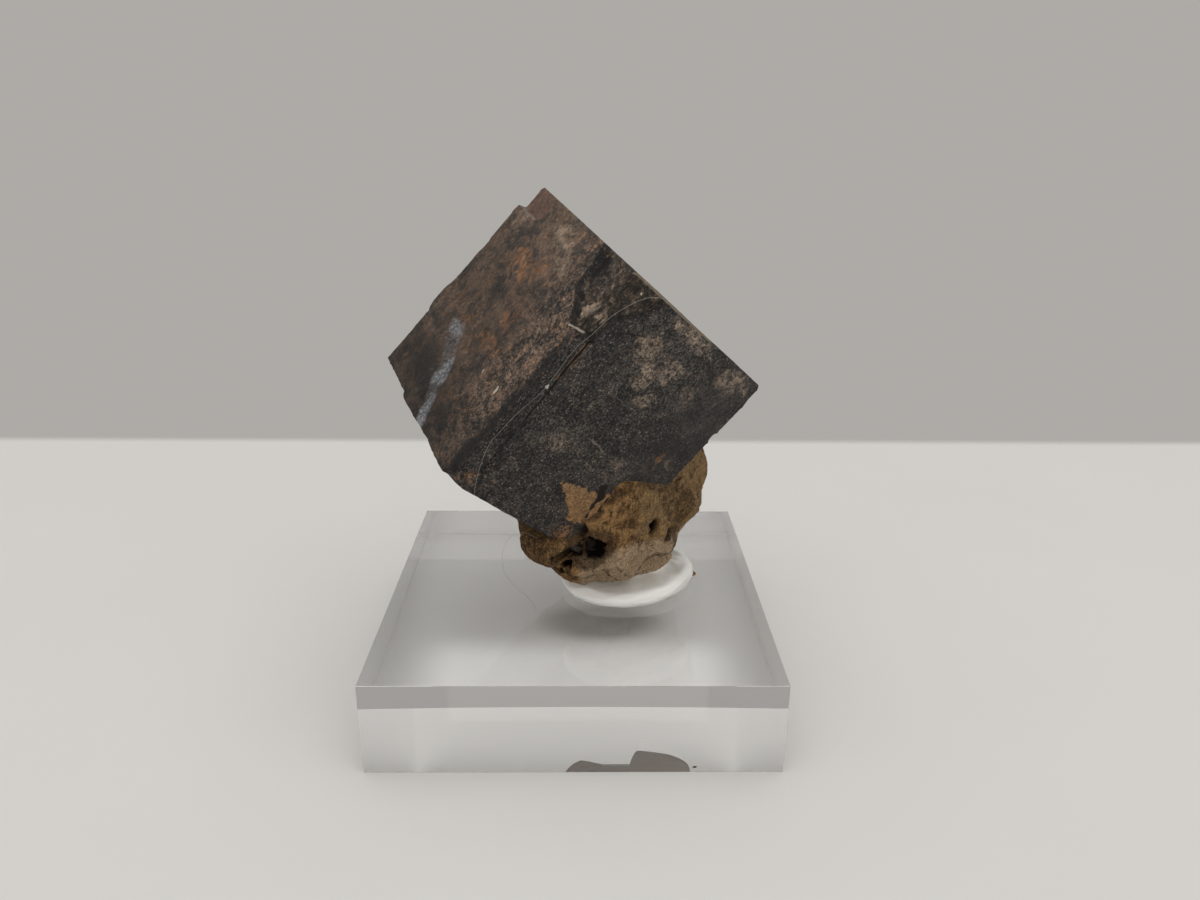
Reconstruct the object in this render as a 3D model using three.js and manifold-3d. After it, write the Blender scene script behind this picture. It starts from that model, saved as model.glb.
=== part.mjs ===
// A limonite pseudomorph after pyrite: one cube-like crystal that stands on a corner in a lump of
// pitted ochre matrix, fixed with a dab of clear adhesive on a square clear block.
// Millimetres, +Z up. The origin is the centre of the block's underside, and its front face looks to -Y.
import * as THREE from 'three';
import { ConvexGeometry } from 'three/addons/geometries/ConvexGeometry.js';
import { mergeVertices } from 'three/addons/utils/BufferGeometryUtils.js';
import Module from 'manifold-3d';

const wasm = await Module();
wasm.setup();

// Display block
const BLOCK_SIDE = 50;
const BLOCK_HEIGHT = 12;
const BLOCK_CHAMFER = 0.25;

// Crystal, in its own frame: X runs up the front ridge, Y across the right face and Z across the left face
const RIDGE_LENGTH = 30.6;
const RIGHT_WIDTH = 26.1;
const LEFT_WIDTH = 28.3;
const CRYSTAL_PLACE = new THREE.Vector3(-14.0, -21.4, 35.85);
const CRYSTAL_HEADING = 7;
const CRYSTAL_LIFT = 48;
const CRYSTAL_SPIN = -67.3;
const EDGE_WEAR = 0.25;
const CORNER_WEAR = 0.7;
const FRONT_CORNER_WEAR = 2.0;
const RIGHT_CORNER_WEAR = 0.9;
const CHIP_DEPTH = 1.3;
const RECESS_DEPTH = 0.9;
const CRACK_LINE = [[6, 2.7], [12.7, 2.5], [15.4, 2.4], [17.9, 2.1], [20.1, 2.1], [21.9, 2.0]];
const CRACK_WIDTH = 0.35;
const CRACK_DEPTH = 0.5;
const OUTSIDE = 2;
const MERGE_DISTANCE = 1e-5;

// The low step on the left face, as (up the ridge, across the face): the rim stands proud, the foot is
// level with the face, and the root is inside the crystal
const STEP_RISE = 0.35;
const STEP_ROOT_DEPTH = 1;
const STEP_RIM = [[0.2, 13.0], [0.2, 28.0], [7.4, 17.2], [9.5, 28.0]];
const STEP_FOOT = [[12, 19], [15.5, 28.0], [0.2, 12.2]];
const STEP_ROOT = [[0.4, 13.5], [0.4, 27.3], [14, 27.3], [11, 19.5]];

// Matrix: rounded lobes, each with its centre and its radii, and how softly they run into each other
const MATRIX_HEART = new THREE.Vector3(4, -1, 21);
const MATRIX_LOBES = [
  { at: [1.5, -2.0, 26.6], radii: [7.9, 9.9, 12.4] },
  { at: [4.6, 0.5, 30.8], radii: [12.6, 11.1, 16.5] },
  { at: [-3.2, -2.1, 23.1], radii: [4.6, 12.7, 4.2] },
  { at: [5.2, 0.3, 20.3], radii: [4.8, 9.7, 7.3] },
  { at: [0.4, -7.2, 20.6], radii: [4.1, 4.2, 4.2] },
  { at: [4.2, -9.0, 28.2], radii: [3.6, 3.0, 3.2] },
];
const LOBE_SCALE = 8;
const LOBE_BLEND = 0.4;
const LUMP_HEIGHT = 0.25;
const MATRIX_DETAIL = 13;
const MATRIX_REACH = 30;
const MATRIX_STEP = 0.5;
const MATRIX_HALVINGS = 20;
const CUP_DETAIL = 8;

// Adhesive dab: an oval drop, turned on the block, higher on its right side
const DAB_PLACE = [7.3, 0.6];
const DAB_LONG = 9.9;
const DAB_SHORT = 7.7;
const DAB_TURN = 22;
const DAB_LOW = 1.6;
const DAB_HIGH = 2.9;
const DAB_RIM = 0.16;
const DAB_FOOT = 0.95;
const DAB_SIDES = 48;

const GAP = 0.35;

const COLOURS = { crystal: 0x453e39, matrix: 0x8a6c48, adhesive: 0xe6e6e2, acrylic: 0xdfe3e3 };

function deg(angle) {
  return THREE.MathUtils.degToRad(angle);
}

// Turns a closed geometry into a solid: vertices are shared, and triangles without area are dropped
function solid(geometry) {
  const bare = geometry.clone();
  bare.deleteAttribute('normal');
  bare.deleteAttribute('uv');
  const merged = mergeVertices(bare, MERGE_DISTANCE);
  const kept = [];
  const index = merged.index.array;
  for (let i = 0; i < index.length; i += 3) {
    const [a, b, c] = [index[i], index[i + 1], index[i + 2]];
    if (a !== b && b !== c && c !== a) kept.push(a, b, c);
  }
  const mesh = new wasm.Mesh({
    numProp: 3,
    vertProperties: new Float32Array(merged.attributes.position.array),
    triVerts: new Uint32Array(kept),
  });
  return new wasm.Manifold(mesh);
}

function geometryOf(manifold) {
  const mesh = manifold.getMesh();
  const geometry = new THREE.BufferGeometry();
  geometry.setAttribute('position', new THREE.BufferAttribute(new Float32Array(mesh.vertProperties), 3));
  geometry.setIndex(new THREE.BufferAttribute(new Uint32Array(mesh.triVerts), 1));
  geometry.computeVertexNormals();
  return geometry;
}

function hull(points) {
  return new ConvexGeometry(points.map((p) => new THREE.Vector3(...p)));
}

// A box with worn edges: six points round every corner, further from it where the corner is more worn
function wornBox(size, wearAt, grow = 0) {
  const points = [];
  for (const sx of [0, 1]) {
    for (const sy of [0, 1]) {
      for (const sz of [0, 1]) {
        const wear = wearAt(sx, sy, sz);
        const steps = [
          [wear, EDGE_WEAR, 0], [wear, 0, EDGE_WEAR], [EDGE_WEAR, wear, 0],
          [0, wear, EDGE_WEAR], [EDGE_WEAR, 0, wear], [0, EDGE_WEAR, wear],
        ];
        for (const step of steps) {
          points.push([sx, sy, sz].map((side, axis) => (
            side ? size[axis] + grow - step[axis] : step[axis] - grow)));
        }
      }
    }
  }
  return hull(points);
}

// The crystal's faces: where each starts, the two directions it is measured in, and the way it looks
const X = new THREE.Vector3(1, 0, 0);
const Y = new THREE.Vector3(0, 1, 0);
const Z = new THREE.Vector3(0, 0, 1);
const FACES = {
  left: { start: [0, 0, 0], u: X, v: Z, out: Y.clone().negate() },
  right: { start: [0, 0, 0], u: X, v: Y, out: Z.clone().negate() },
  top: { start: [RIDGE_LENGTH, 0, 0], u: Y, v: Z, out: X },
  low: { start: [0, 0, 0], u: Y, v: Z, out: X.clone().negate() },
  back: { start: [0, 0, LEFT_WIDTH], u: X, v: Y, out: Z },
  under: { start: [0, RIGHT_WIDTH, 0], u: X, v: Z, out: Y },
};

// A flat-floored cutter over an outline on one face, going a depth into it and clear outside it
function faceCutter(face, outline, depth) {
  const { start, u, v, out } = FACES[face];
  const normal = new THREE.Vector3().crossVectors(u, v);
  const lowest = normal.dot(out) > 0 ? -depth : -OUTSIDE;
  const shape = new THREE.Shape(outline.map(([s, t]) => new THREE.Vector2(s, t)));
  const prism = new THREE.ExtrudeGeometry(shape, { depth: depth + OUTSIDE, bevelEnabled: false });
  prism.translate(0, 0, lowest);
  prism.applyMatrix4(new THREE.Matrix4().makeBasis(u, v, normal).setPosition(...start));
  return prism;
}

// The outline of a narrow strip along a line of points
function strip(points, width) {
  const near = points.map(([s, t]) => [s, t - width / 2]);
  const far = points.map(([s, t]) => [s, t + width / 2]).reverse();
  return [...near, ...far];
}

// A wedge knocked out of an edge: along it, into one face and into the other
function edgeChip(corner, along, into, down, length, depth) {
  const point = (a, b, c) => new THREE.Vector3(...corner)
    .addScaledVector(along, a).addScaledVector(into, b).addScaledVector(down, c).toArray();
  return hull([
    point(0, 0, 0), point(length, 0, 0), point(length * 0.45, depth, 0), point(length * 0.6, 0, depth),
    point(0, -OUTSIDE, -OUTSIDE), point(length, -OUTSIDE, -OUTSIDE),
  ]);
}

function crystalWear(sx, sy, sz) {
  if (!sx && !sy && !sz) return FRONT_CORNER_WEAR;
  if (sx && sy && !sz) return RIGHT_CORNER_WEAR;
  return CORNER_WEAR;
}

const CRYSTAL_SIZE = [RIDGE_LENGTH, RIGHT_WIDTH, LEFT_WIDTH];

// Outlines on the faces, each with its depth, in millimetres from the face's own start
const FACE_CUTS = [
  // the flake lost from the top corner
  { face: 'left', depth: CHIP_DEPTH,
    outline: [[26.7, 24.8], [26.9, 22.7], [27.6, 21.5], [33, 21.5], [33, 30], [26.9, 30]] },
  // the broken recess on the front ridge, on both sides of it
  { face: 'left', depth: RECESS_DEPTH,
    outline: [[21.8, -1], [33, -1], [33, 8.4], [28.5, 7.2], [26.6, 6.7], [25, 6.3], [21.8, 2.7]] },
  { face: 'right', depth: RECESS_DEPTH,
    outline: [[21.9, -1], [33, -1], [33, 7.2], [29.3, 6.3], [27.8, 5.6], [26, 3.7], [24.8, 2.2], [21.9, 2]] },
  // a small flake on the left face
  { face: 'left', depth: 0.35, outline: [[10.5, 8.9], [10, 6.4], [10.3, 4.4], [11.4, 4.6], [11.9, 7.2]] },
  // growth terraces and hollows on the sides that look away
  { face: 'top', depth: 0.5, outline: [[12, 30], [13.5, 21], [19, 18.5], [21, 12], [28, 10.5], [28, 30]] },
  { face: 'top', depth: 0.35, outline: [[6, 14], [8.5, 12.4], [11.4, 14.2], [10.2, 16.8], [7, 17]] },
  { face: 'back', depth: 0.6,
    outline: [[-1, -1], [9, -1], [10.5, 6], [7, 11.5], [8.4, 18], [5, 28], [-1, 28]] },
  { face: 'back', depth: 0.4,
    outline: [[17, 14], [21.5, 11.2], [26, 13.5], [25.2, 19], [20, 20.5], [16.8, 18]] },
  { face: 'low', depth: 0.5,
    outline: [[-1, 19], [7, 17.8], [12, 21.4], [20, 20.4], [28, 22], [28, 30], [-1, 30]] },
  { face: 'under', depth: 0.5, outline: [[22, 30], [23.4, 22], [27, 18.5], [32, 17.5], [32, 30]] },
];

const EDGE_CHIPS = [
  // on the right face's far edge, seen against the light
  { corner: [21.2, RIGHT_WIDTH, 0], along: X, into: Y.clone().negate(), down: Z, length: 1.6, depth: 0.45 },
  // on the left face's far edges
  { corner: [19.0, 0, LEFT_WIDTH], along: X, into: Z.clone().negate(), down: Y, length: 2.4, depth: 0.35 },
  { corner: [8.5, 0, LEFT_WIDTH], along: X, into: Z.clone().negate(), down: Y, length: 1.5, depth: 0.3 },
  { corner: [0, 0, 8.0], along: Z, into: X, down: Y, length: 1.8, depth: 0.35 },
  // on the top face's far edges
  { corner: [RIDGE_LENGTH, RIGHT_WIDTH, 9], along: Z, into: Y.clone().negate(), down: X.clone().negate(),
    length: 3.2, depth: 0.9 },
  { corner: [RIDGE_LENGTH, 14, LEFT_WIDTH], along: Y, into: Z.clone().negate(), down: X.clone().negate(),
    length: 2.6, depth: 0.8 },
];

// The low step that runs slanting over the left face: the side by the left corner stands out
function stepSlab() {
  const at = (outline, depth) => outline.map(([up, across]) => [up, depth, across]);
  return hull([...at(STEP_RIM, -STEP_RISE), ...at(STEP_FOOT, 0), ...at(STEP_ROOT, STEP_ROOT_DEPTH)]);
}

function crystalGeometry() {
  let body = solid(wornBox(CRYSTAL_SIZE, crystalWear)).add(solid(stepSlab()));
  for (const { face, outline, depth } of FACE_CUTS) {
    body = body.subtract(solid(faceCutter(face, outline, depth)));
  }
  for (const { corner, along, into, down, length, depth } of EDGE_CHIPS) {
    body = body.subtract(solid(edgeChip(corner, along, into, down, length, depth)));
  }
  body = body.subtract(solid(faceCutter('right', strip(CRACK_LINE, CRACK_WIDTH), CRACK_DEPTH)));
  return geometryOf(body);
}

function crystalTurn() {
  return new THREE.Euler(deg(CRYSTAL_SPIN), deg(-CRYSTAL_LIFT), deg(CRYSTAL_HEADING), 'ZYX');
}

// Height of the matrix's surface at a point, above zero inside it: a soft union of the lobes with lumps
function matrixDepth(x, y, z) {
  let sum = 0;
  for (const { at, radii } of MATRIX_LOBES) {
    const reach = Math.hypot((x - at[0]) / radii[0], (y - at[1]) / radii[1], (z - at[2]) / radii[2]);
    sum += Math.exp(LOBE_SCALE * (1 - reach) / LOBE_BLEND);
  }
  const lumps = Math.sin(0.8 * x + 0.5 * z) + Math.sin(0.9 * y - 0.6 * x + 1)
    + Math.sin(0.85 * z + 0.7 * y + 2);
  return LOBE_BLEND * Math.log(sum) + LUMP_HEIGHT * lumps;
}

// Distance from the matrix's heart to its surface along a direction, halved down between heart and reach
function matrixRadius(direction) {
  const probe = new THREE.Vector3();
  const depthAt = (radius) => {
    probe.copy(MATRIX_HEART).addScaledVector(direction, radius);
    return matrixDepth(probe.x, probe.y, probe.z);
  };
  let outer = MATRIX_REACH;
  while (depthAt(outer - MATRIX_STEP) < 0) outer -= MATRIX_STEP;
  let inner = outer - MATRIX_STEP;
  for (let i = 0; i < MATRIX_HALVINGS; i += 1) {
    const middle = (inner + outer) / 2;
    if (depthAt(middle) < 0) outer = middle;
    else inner = middle;
  }
  return inner;
}

function matrixBlob(detail, grow) {
  const ball = new THREE.IcosahedronGeometry(1, detail);
  const position = ball.attributes.position;
  const direction = new THREE.Vector3();
  for (let i = 0; i < position.count; i += 1) {
    direction.fromBufferAttribute(position, i).normalize();
    direction.multiplyScalar(matrixRadius(direction) + grow);
    position.setXYZ(i, direction.x, direction.y, direction.z);
  }
  ball.translate(MATRIX_HEART.x, MATRIX_HEART.y, MATRIX_HEART.z);
  return ball;
}

// Pits in the matrix: the way from its heart to each mouth, in degrees round from +X and up from level,
// then half the mouth's width and height and how deep it goes
const PITS = [
  // on the front
  { round: -99, up: 10, width: 1.15, height: 1.25, depth: 2.0 },
  { round: -101, up: 24, width: 0.9, height: 0.65, depth: 1.6 },
  { round: -110, up: 12, width: 0.6, height: 0.7, depth: 1.2 },
  { round: -118, up: 2, width: 0.6, height: 0.5, depth: 1.0 },
  { round: -48, up: 22, width: 0.6, height: 0.8, depth: 1.3 },
  { round: -33, up: 13, width: 0.5, height: 1.0, depth: 1.2 },
  { round: -35, up: 40, width: 0.4, height: 0.9, depth: 1.2 },
  // on the sides that look away
  { round: 8, up: -4, width: 1.3, height: 0.9, depth: 1.2 },
  { round: 34, up: 14, width: 0.8, height: 1.2, depth: 1.4 },
  { round: 62, up: -8, width: 1.2, height: 0.8, depth: 1.3 },
  { round: 88, up: 10, width: 1.5, height: 1.1, depth: 1.7 },
  { round: 118, up: -2, width: 0.9, height: 0.8, depth: 1.2 },
  { round: 152, up: 4, width: 1.2, height: 1.0, depth: 1.3 },
  { round: -164, up: -6, width: 0.8, height: 0.9, depth: 1.1 },
];

// One pit: a small ball stretched along the way from the heart, with its middle on the surface
function pitCutter({ round, up, width, height, depth }) {
  const level = Math.cos(deg(up));
  const way = new THREE.Vector3(level * Math.cos(deg(round)), level * Math.sin(deg(round)),
    Math.sin(deg(up)));
  const across = new THREE.Vector3().crossVectors(Z, way).normalize();
  const upright = new THREE.Vector3().crossVectors(way, across);
  const mouth = MATRIX_HEART.clone().addScaledVector(way, matrixRadius(way));
  const ball = new THREE.IcosahedronGeometry(1, 1);
  ball.scale(width, height, depth);
  ball.applyMatrix4(new THREE.Matrix4().makeBasis(across, upright, way).setPosition(mouth));
  return ball;
}

function crystalSocket() {
  const box = wornBox(CRYSTAL_SIZE, () => EDGE_WEAR, GAP);
  box.applyMatrix4(new THREE.Matrix4().makeRotationFromEuler(crystalTurn()).setPosition(CRYSTAL_PLACE));
  return box;
}

function matrixGeometry() {
  let body = solid(matrixBlob(MATRIX_DETAIL, 0)).subtract(solid(crystalSocket()));
  for (const pit of PITS) body = body.subtract(solid(pitCutter(pit)));
  const pieces = body.decompose().sort((a, b) => b.volume() - a.volume());
  return geometryOf(pieces[0]);
}

// The dab before the matrix sinks into it: a round-rimmed drop turned on a lathe, then made oval,
// turned on the block and lifted towards its right side
function dabGeometry() {
  const profile = [new THREE.Vector2(0, 0), new THREE.Vector2(DAB_FOOT, 0)];
  for (let angle = -30; angle <= 90; angle += 20) {
    const out = 1 - DAB_RIM + DAB_RIM * Math.cos(deg(angle));
    profile.push(new THREE.Vector2(out, (1 + Math.sin(deg(angle))) / 2));
  }
  profile.push(new THREE.Vector2(0, 1));
  const drop = new THREE.LatheGeometry(profile, DAB_SIDES);
  drop.rotateX(Math.PI / 2);
  const position = drop.attributes.position;
  const highSide = new THREE.Vector2(Math.cos(deg(DAB_TURN)), Math.sin(deg(DAB_TURN)));
  for (let i = 0; i < position.count; i += 1) {
    const [long, short] = [position.getX(i) * DAB_LONG, position.getY(i) * DAB_SHORT];
    const x = long * highSide.x - short * highSide.y;
    const y = long * highSide.y + short * highSide.x;
    const share = (position.getX(i) + 1) / 2;
    const height = DAB_LOW + (DAB_HIGH - DAB_LOW) * share * share;
    position.setXYZ(i, x + DAB_PLACE[0], y + DAB_PLACE[1], BLOCK_HEIGHT + position.getZ(i) * height);
  }
  const cup = matrixBlob(CUP_DETAIL, GAP);
  return geometryOf(solid(drop).subtract(solid(cup)));
}

function blockGeometry() {
  const half = BLOCK_SIDE / 2 - BLOCK_CHAMFER;
  const outline = new THREE.Shape([
    new THREE.Vector2(-half, -half), new THREE.Vector2(half, -half),
    new THREE.Vector2(half, half), new THREE.Vector2(-half, half),
  ]);
  const block = new THREE.ExtrudeGeometry(outline, {
    depth: BLOCK_HEIGHT - 2 * BLOCK_CHAMFER,
    bevelEnabled: true,
    bevelThickness: BLOCK_CHAMFER,
    bevelSize: BLOCK_CHAMFER,
    bevelSegments: 1,
  });
  block.translate(0, 0, BLOCK_CHAMFER);
  return block;
}

function named(name, geometry, material) {
  const mesh = new THREE.Mesh(geometry, new THREE.MeshStandardMaterial(material));
  mesh.name = name;
  return mesh;
}

const specimen = new THREE.Group();

const crystal = named('crystal', crystalGeometry(), {
  color: COLOURS.crystal, roughness: 0.55, metalness: 0.05,
});
crystal.position.copy(CRYSTAL_PLACE);
crystal.rotation.copy(crystalTurn());
specimen.add(crystal);

specimen.add(named('matrix', matrixGeometry(), { color: COLOURS.matrix, roughness: 0.9, metalness: 0 }));
specimen.add(named('adhesive_dab', dabGeometry(), {
  color: COLOURS.adhesive, roughness: 0.15, metalness: 0, transparent: true, opacity: 0.6,
}));
specimen.add(named('display_block', blockGeometry(), {
  color: COLOURS.acrylic, roughness: 0.05, metalness: 0, transparent: true, opacity: 0.35,
}));

export default specimen;
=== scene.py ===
"""A limonite pseudomorph on its display block, laid out as a Blender add-on and run as a script.

A dark cube-like crystal stands on a corner in a lump of pitted ochre matrix. A dab of clear adhesive
holds the matrix on a square clear block. Shapes are worked out in millimetres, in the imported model's
frame, and written to the meshes in metres.
"""
import itertools
import math

import bpy
import numpy as np
from mathutils import Euler, Matrix, Vector


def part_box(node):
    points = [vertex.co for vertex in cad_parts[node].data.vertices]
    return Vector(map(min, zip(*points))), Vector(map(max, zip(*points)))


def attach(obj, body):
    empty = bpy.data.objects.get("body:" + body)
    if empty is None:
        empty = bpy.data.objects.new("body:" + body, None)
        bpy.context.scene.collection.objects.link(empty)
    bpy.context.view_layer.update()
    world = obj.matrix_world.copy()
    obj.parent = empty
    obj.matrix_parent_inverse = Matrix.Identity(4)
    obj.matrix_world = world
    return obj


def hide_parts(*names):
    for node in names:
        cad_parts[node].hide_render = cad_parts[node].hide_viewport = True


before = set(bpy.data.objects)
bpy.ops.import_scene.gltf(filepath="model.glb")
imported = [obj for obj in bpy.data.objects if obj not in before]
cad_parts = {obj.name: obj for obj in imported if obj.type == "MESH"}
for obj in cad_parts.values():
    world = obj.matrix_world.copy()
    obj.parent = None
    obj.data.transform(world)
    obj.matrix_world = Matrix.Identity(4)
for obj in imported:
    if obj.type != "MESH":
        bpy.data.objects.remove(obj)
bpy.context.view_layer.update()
BLOCK_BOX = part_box("display_block")

bl_info = {
    "name": "Limonite Pseudomorph",
    "version": (1, 0, 0),
    "blender": (4, 5, 0),
    "location": "View3D > Sidebar > Specimen",
    "description": "Builds a limonite crystal in its matrix, fixed on a clear block",
    "category": "Object",
}

MM = 0.001
BODY = "root"

# The crystal's own frame, in millimetres: X up the front ridge, Y across the right face, Z across the left.
# A face's depth also moves the other faces' points near it, as far away as the reach.
CRYSTAL_PLACE = (-14.0, -21.4, 35.85)
CRYSTAL_TURN = Euler((math.radians(-67.3), math.radians(-48.0), math.radians(7.0)), "XYZ")
CRYSTAL_AXES = np.array(CRYSTAL_TURN.to_matrix())
EDGE_SHIFT_REACH = 4.0

# Outlines on the left face, as (up the ridge, across the face)
FLAKE_OUTLINE = [(26.7, 24.8), (26.9, 22.7), (27.6, 21.5), (33, 21.5), (33, 30), (26.9, 30)]
RECESS_LEFT = [(21.8, -1), (33, -1), (33, 8.4), (28.5, 7.2), (26.6, 6.7), (25, 6.3), (21.8, 2.7)]
SMALL_FLAKE = [(10.5, 8.9), (10.0, 6.4), (10.3, 4.4), (11.4, 4.6), (11.9, 7.2)]

# Outlines on the right face, as (up the ridge, across the face)
RECESS_RIGHT = [(21.9, -1), (33, -1), (33, 7.2), (29.3, 6.3), (27.8, 5.6), (26, 3.7), (24.8, 2.2), (21.9, 2)]
BARE_PATCH = [(6.7, 12.4), (7.5, 14.6), (7.8, 17.4), (8.7, 19.5), (7, 21), (3.7, 19.8), (3.2, 17.2),
              (4.1, 16.6), (5.2, 15.2), (6.05, 14)]
CRACK_LINE = [(3.0, 2.9), (6.0, 2.7), (12.7, 2.5), (15.4, 2.4), (17.9, 2.1), (20.1, 2.1), (21.9, 2.0)]

# Growth terraces on the sides that look away
TERRACES = {
    "top": [(0.5, [(12, 30), (13.5, 21), (19, 18.5), (21, 12), (28, 10.5), (28, 30)]),
            (0.35, [(6, 14), (8.5, 12.4), (11.4, 14.2), (10.2, 16.8), (7, 17)])],
    "back": [(0.6, [(-1, -1), (9, -1), (10.5, 6), (7, 11.5), (8.4, 18), (5, 28), (-1, 28)]),
             (0.4, [(17, 14), (21.5, 11.2), (26, 13.5), (25.2, 19), (20, 20.5), (16.8, 18)])],
    "low": [(0.5, [(-1, 19), (7, 17.8), (12, 21.4), (20, 20.4), (28, 22), (28, 30), (-1, 30)])],
    "under": [(0.5, [(22, 30), (23.4, 22), (27, 18.5), (32, 17.5), (32, 30)])],
}

# Matrix lobes: centre and radii, in millimetres in the frame of the whole object. Rays from the heart find
# the surface: they start at the reach, come in by steps and halve the last one.
MATRIX_HEART = (4.0, -1.0, 21.0)
MATRIX_LOBES = [
    ((1.5, -2.0, 26.6), (7.9, 9.9, 12.4)),
    ((4.6, 0.5, 30.8), (12.6, 11.1, 16.5)),
    ((-3.2, -2.1, 23.1), (4.6, 12.7, 4.2)),
    ((5.2, 0.3, 20.3), (4.8, 9.7, 7.3)),
    ((0.4, -7.2, 20.6), (4.1, 4.2, 4.2)),
    ((4.2, -9.0, 28.2), (3.6, 3.0, 3.2)),
]
MATRIX_FOOT = ((6.6, 2.2, 15.3), (7.0, 5.2, 2.3))
LOBE_SCALE = 8.0
LOBE_BLEND = 0.4
MATRIX_REACH = 30.0
RAY_STEP = 0.5
RAY_HALVINGS = 14

# Pits: the way from the heart in degrees round from +X and up from level, half width, half height, depth
PITS = [
    (-99, 8, 1.5, 1.9, 1.9), (-106, 22, 1.1, 1.0, 1.5), (-112, 7, 0.95, 0.9, 1.3),
    (-117, -3, 0.8, 0.7, 1.3), (-49, 19, 0.9, 1.3, 1.7), (-34, 8, 0.9, 1.2, 1.4), (-35, 40, 0.4, 0.9, 1.2),
    (8, -4, 1.3, 0.9, 1.2), (34, 14, 0.8, 1.2, 1.4), (62, -8, 1.2, 0.8, 1.3), (88, 10, 1.5, 1.1, 1.7),
    (118, -2, 0.9, 0.8, 1.2), (152, 4, 1.2, 1.0, 1.3), (-164, -6, 0.8, 0.9, 1.1),
]

# Routes of the two loose fibres, in millimetres: the ridge's is given on the right face, as (up the ridge,
# across the face). Then the darkened hollow of the matrix, and the crumb.
LOOP_ROUTE = [(-4.6, -13.4, 25.2), (-6.4, -12.6, 25.6), (-8.2, -11.4, 24.2), (-9.2, -10.4, 21.4),
              (-9.0, -10.0, 18.8), (-7.8, -9.6, 16.6), (-6.2, -9.2, 14.8), (-5.4, -8.6, 13.2),
              (-5.2, -8.0, 12.06)]
RIDGE_FIBRE = [(30.5, 5.4), (29.5, 3.8), (27.7, 2.6), (25.3, 1.7), (22.7, 1.4), (20.3, 1.0), (17, 1.3),
               (14.2, 1.5), (11, 1.0), (8.2, 0.9), (6.1, 1.0), (3, 2.3), (0.4, 3.9)]
RIDGE_FIBRE_LIFT = 0.09
FIBRE_THICKNESS = 0.03
FIBRE_STEPS = 8
FIBRE_SIDE = (0.31, 0.52, 0.79)
SHADE_WAY = (-102, 9)
SHADE_RADIUS = 4.2
CRUMB_PLACE = (16.7, 2.4, 12.2)
CRUMB_RADII = (0.42, 0.34, 0.3)
CRUMB_GRID = 10

# Chips on the crystal's edges: the edge's axis, which end of the two others, where it starts, length, depth
EDGE_CHIPS = [
    (0, (1, 0), 21.2, 1.6, 0.3),
    (0, (0, 1), 19.0, 2.4, 0.15), (0, (0, 1), 8.5, 1.5, 0.12),
    (2, (0, 0), 8.0, 1.8, 0.15),
    (2, (1, 1), 9.0, 3.2, 0.7), (1, (1, 1), 14.0, 2.6, 0.6),
]
# Wear of the corners, named by their end along each of the crystal's axes
CORNER_WEAR = {(0, 0, 0): 2.3, (0, 0, 1): 0.25, (1, 1, 0): 0.7, (1, 0, 1): 0.45}
CORNER_WEAR_ELSEWHERE = 0.8
EDGE_WEAR = 0.12
# Heights and depths of the other features, how far the matrix reaches under the crystal, and the grids
STEP_RISE = 0.35
SMALL_FLAKE_DEPTH = 0.35
CRACK_DEPTH = 0.45
CUTTER_SHRINK = 0.12
CRYSTAL_GRID = (140, 118, 126)
EDGE_CROWDING = 0.25
MATRIX_GRID = 128

# The slanting step on the left face and the grey band beside it, as (up the ridge, across the face). The
# band's grey is partly worn skin and partly painted sheen.
STEP_OUTLINE = [(-1, 12.9), (0.5, 13.7), (4.4, 16.7), (7.4, 19.2), (9.3, 20.1), (11.2, 21.2), (12.5, 30),
                (-1, 30)]
BAND_OUTLINE = [(-1, 10.9), (1.1, 11.3), (4.5, 13.1), (7.7, 15.1), (10.3, 17.0), (12, 18.4), (11.2, 21.2),
                (9.3, 19.8), (7.4, 18.1), (4.4, 15.4), (0.5, 12.8), (-1, 12.3)]

# A thin line of painted highlight along a small step on each face, as (across the face, up the ridge), and
# the stretches where it shows
LEFT_LINE = [(0.0, 22.15), (1.2, 21.95), (2.7, 21.6), (21.6, 27.5), (22.7, 26.95), (24.8, 26.75),
             (28.0, 26.9)]
LEFT_SHOWS = [(-1.0, 2.5), (21.9, 27.6)]
RIGHT_LINE = [(11.4, 13.05), (12.8, 12.95), (14.2, 12.6)]
RIGHT_SHOWS = [(11.5, 14.1)]
# Where the crack shows, up the ridge, and the split beside the bare patch, as (up the ridge, across)
CRACK_SHOWS = [(9.0, 22.2)]
CREVICE_LINE = [(8.7, 18.0), (8.2, 18.9), (6.6, 18.7), (4.7, 19.2)]

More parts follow.
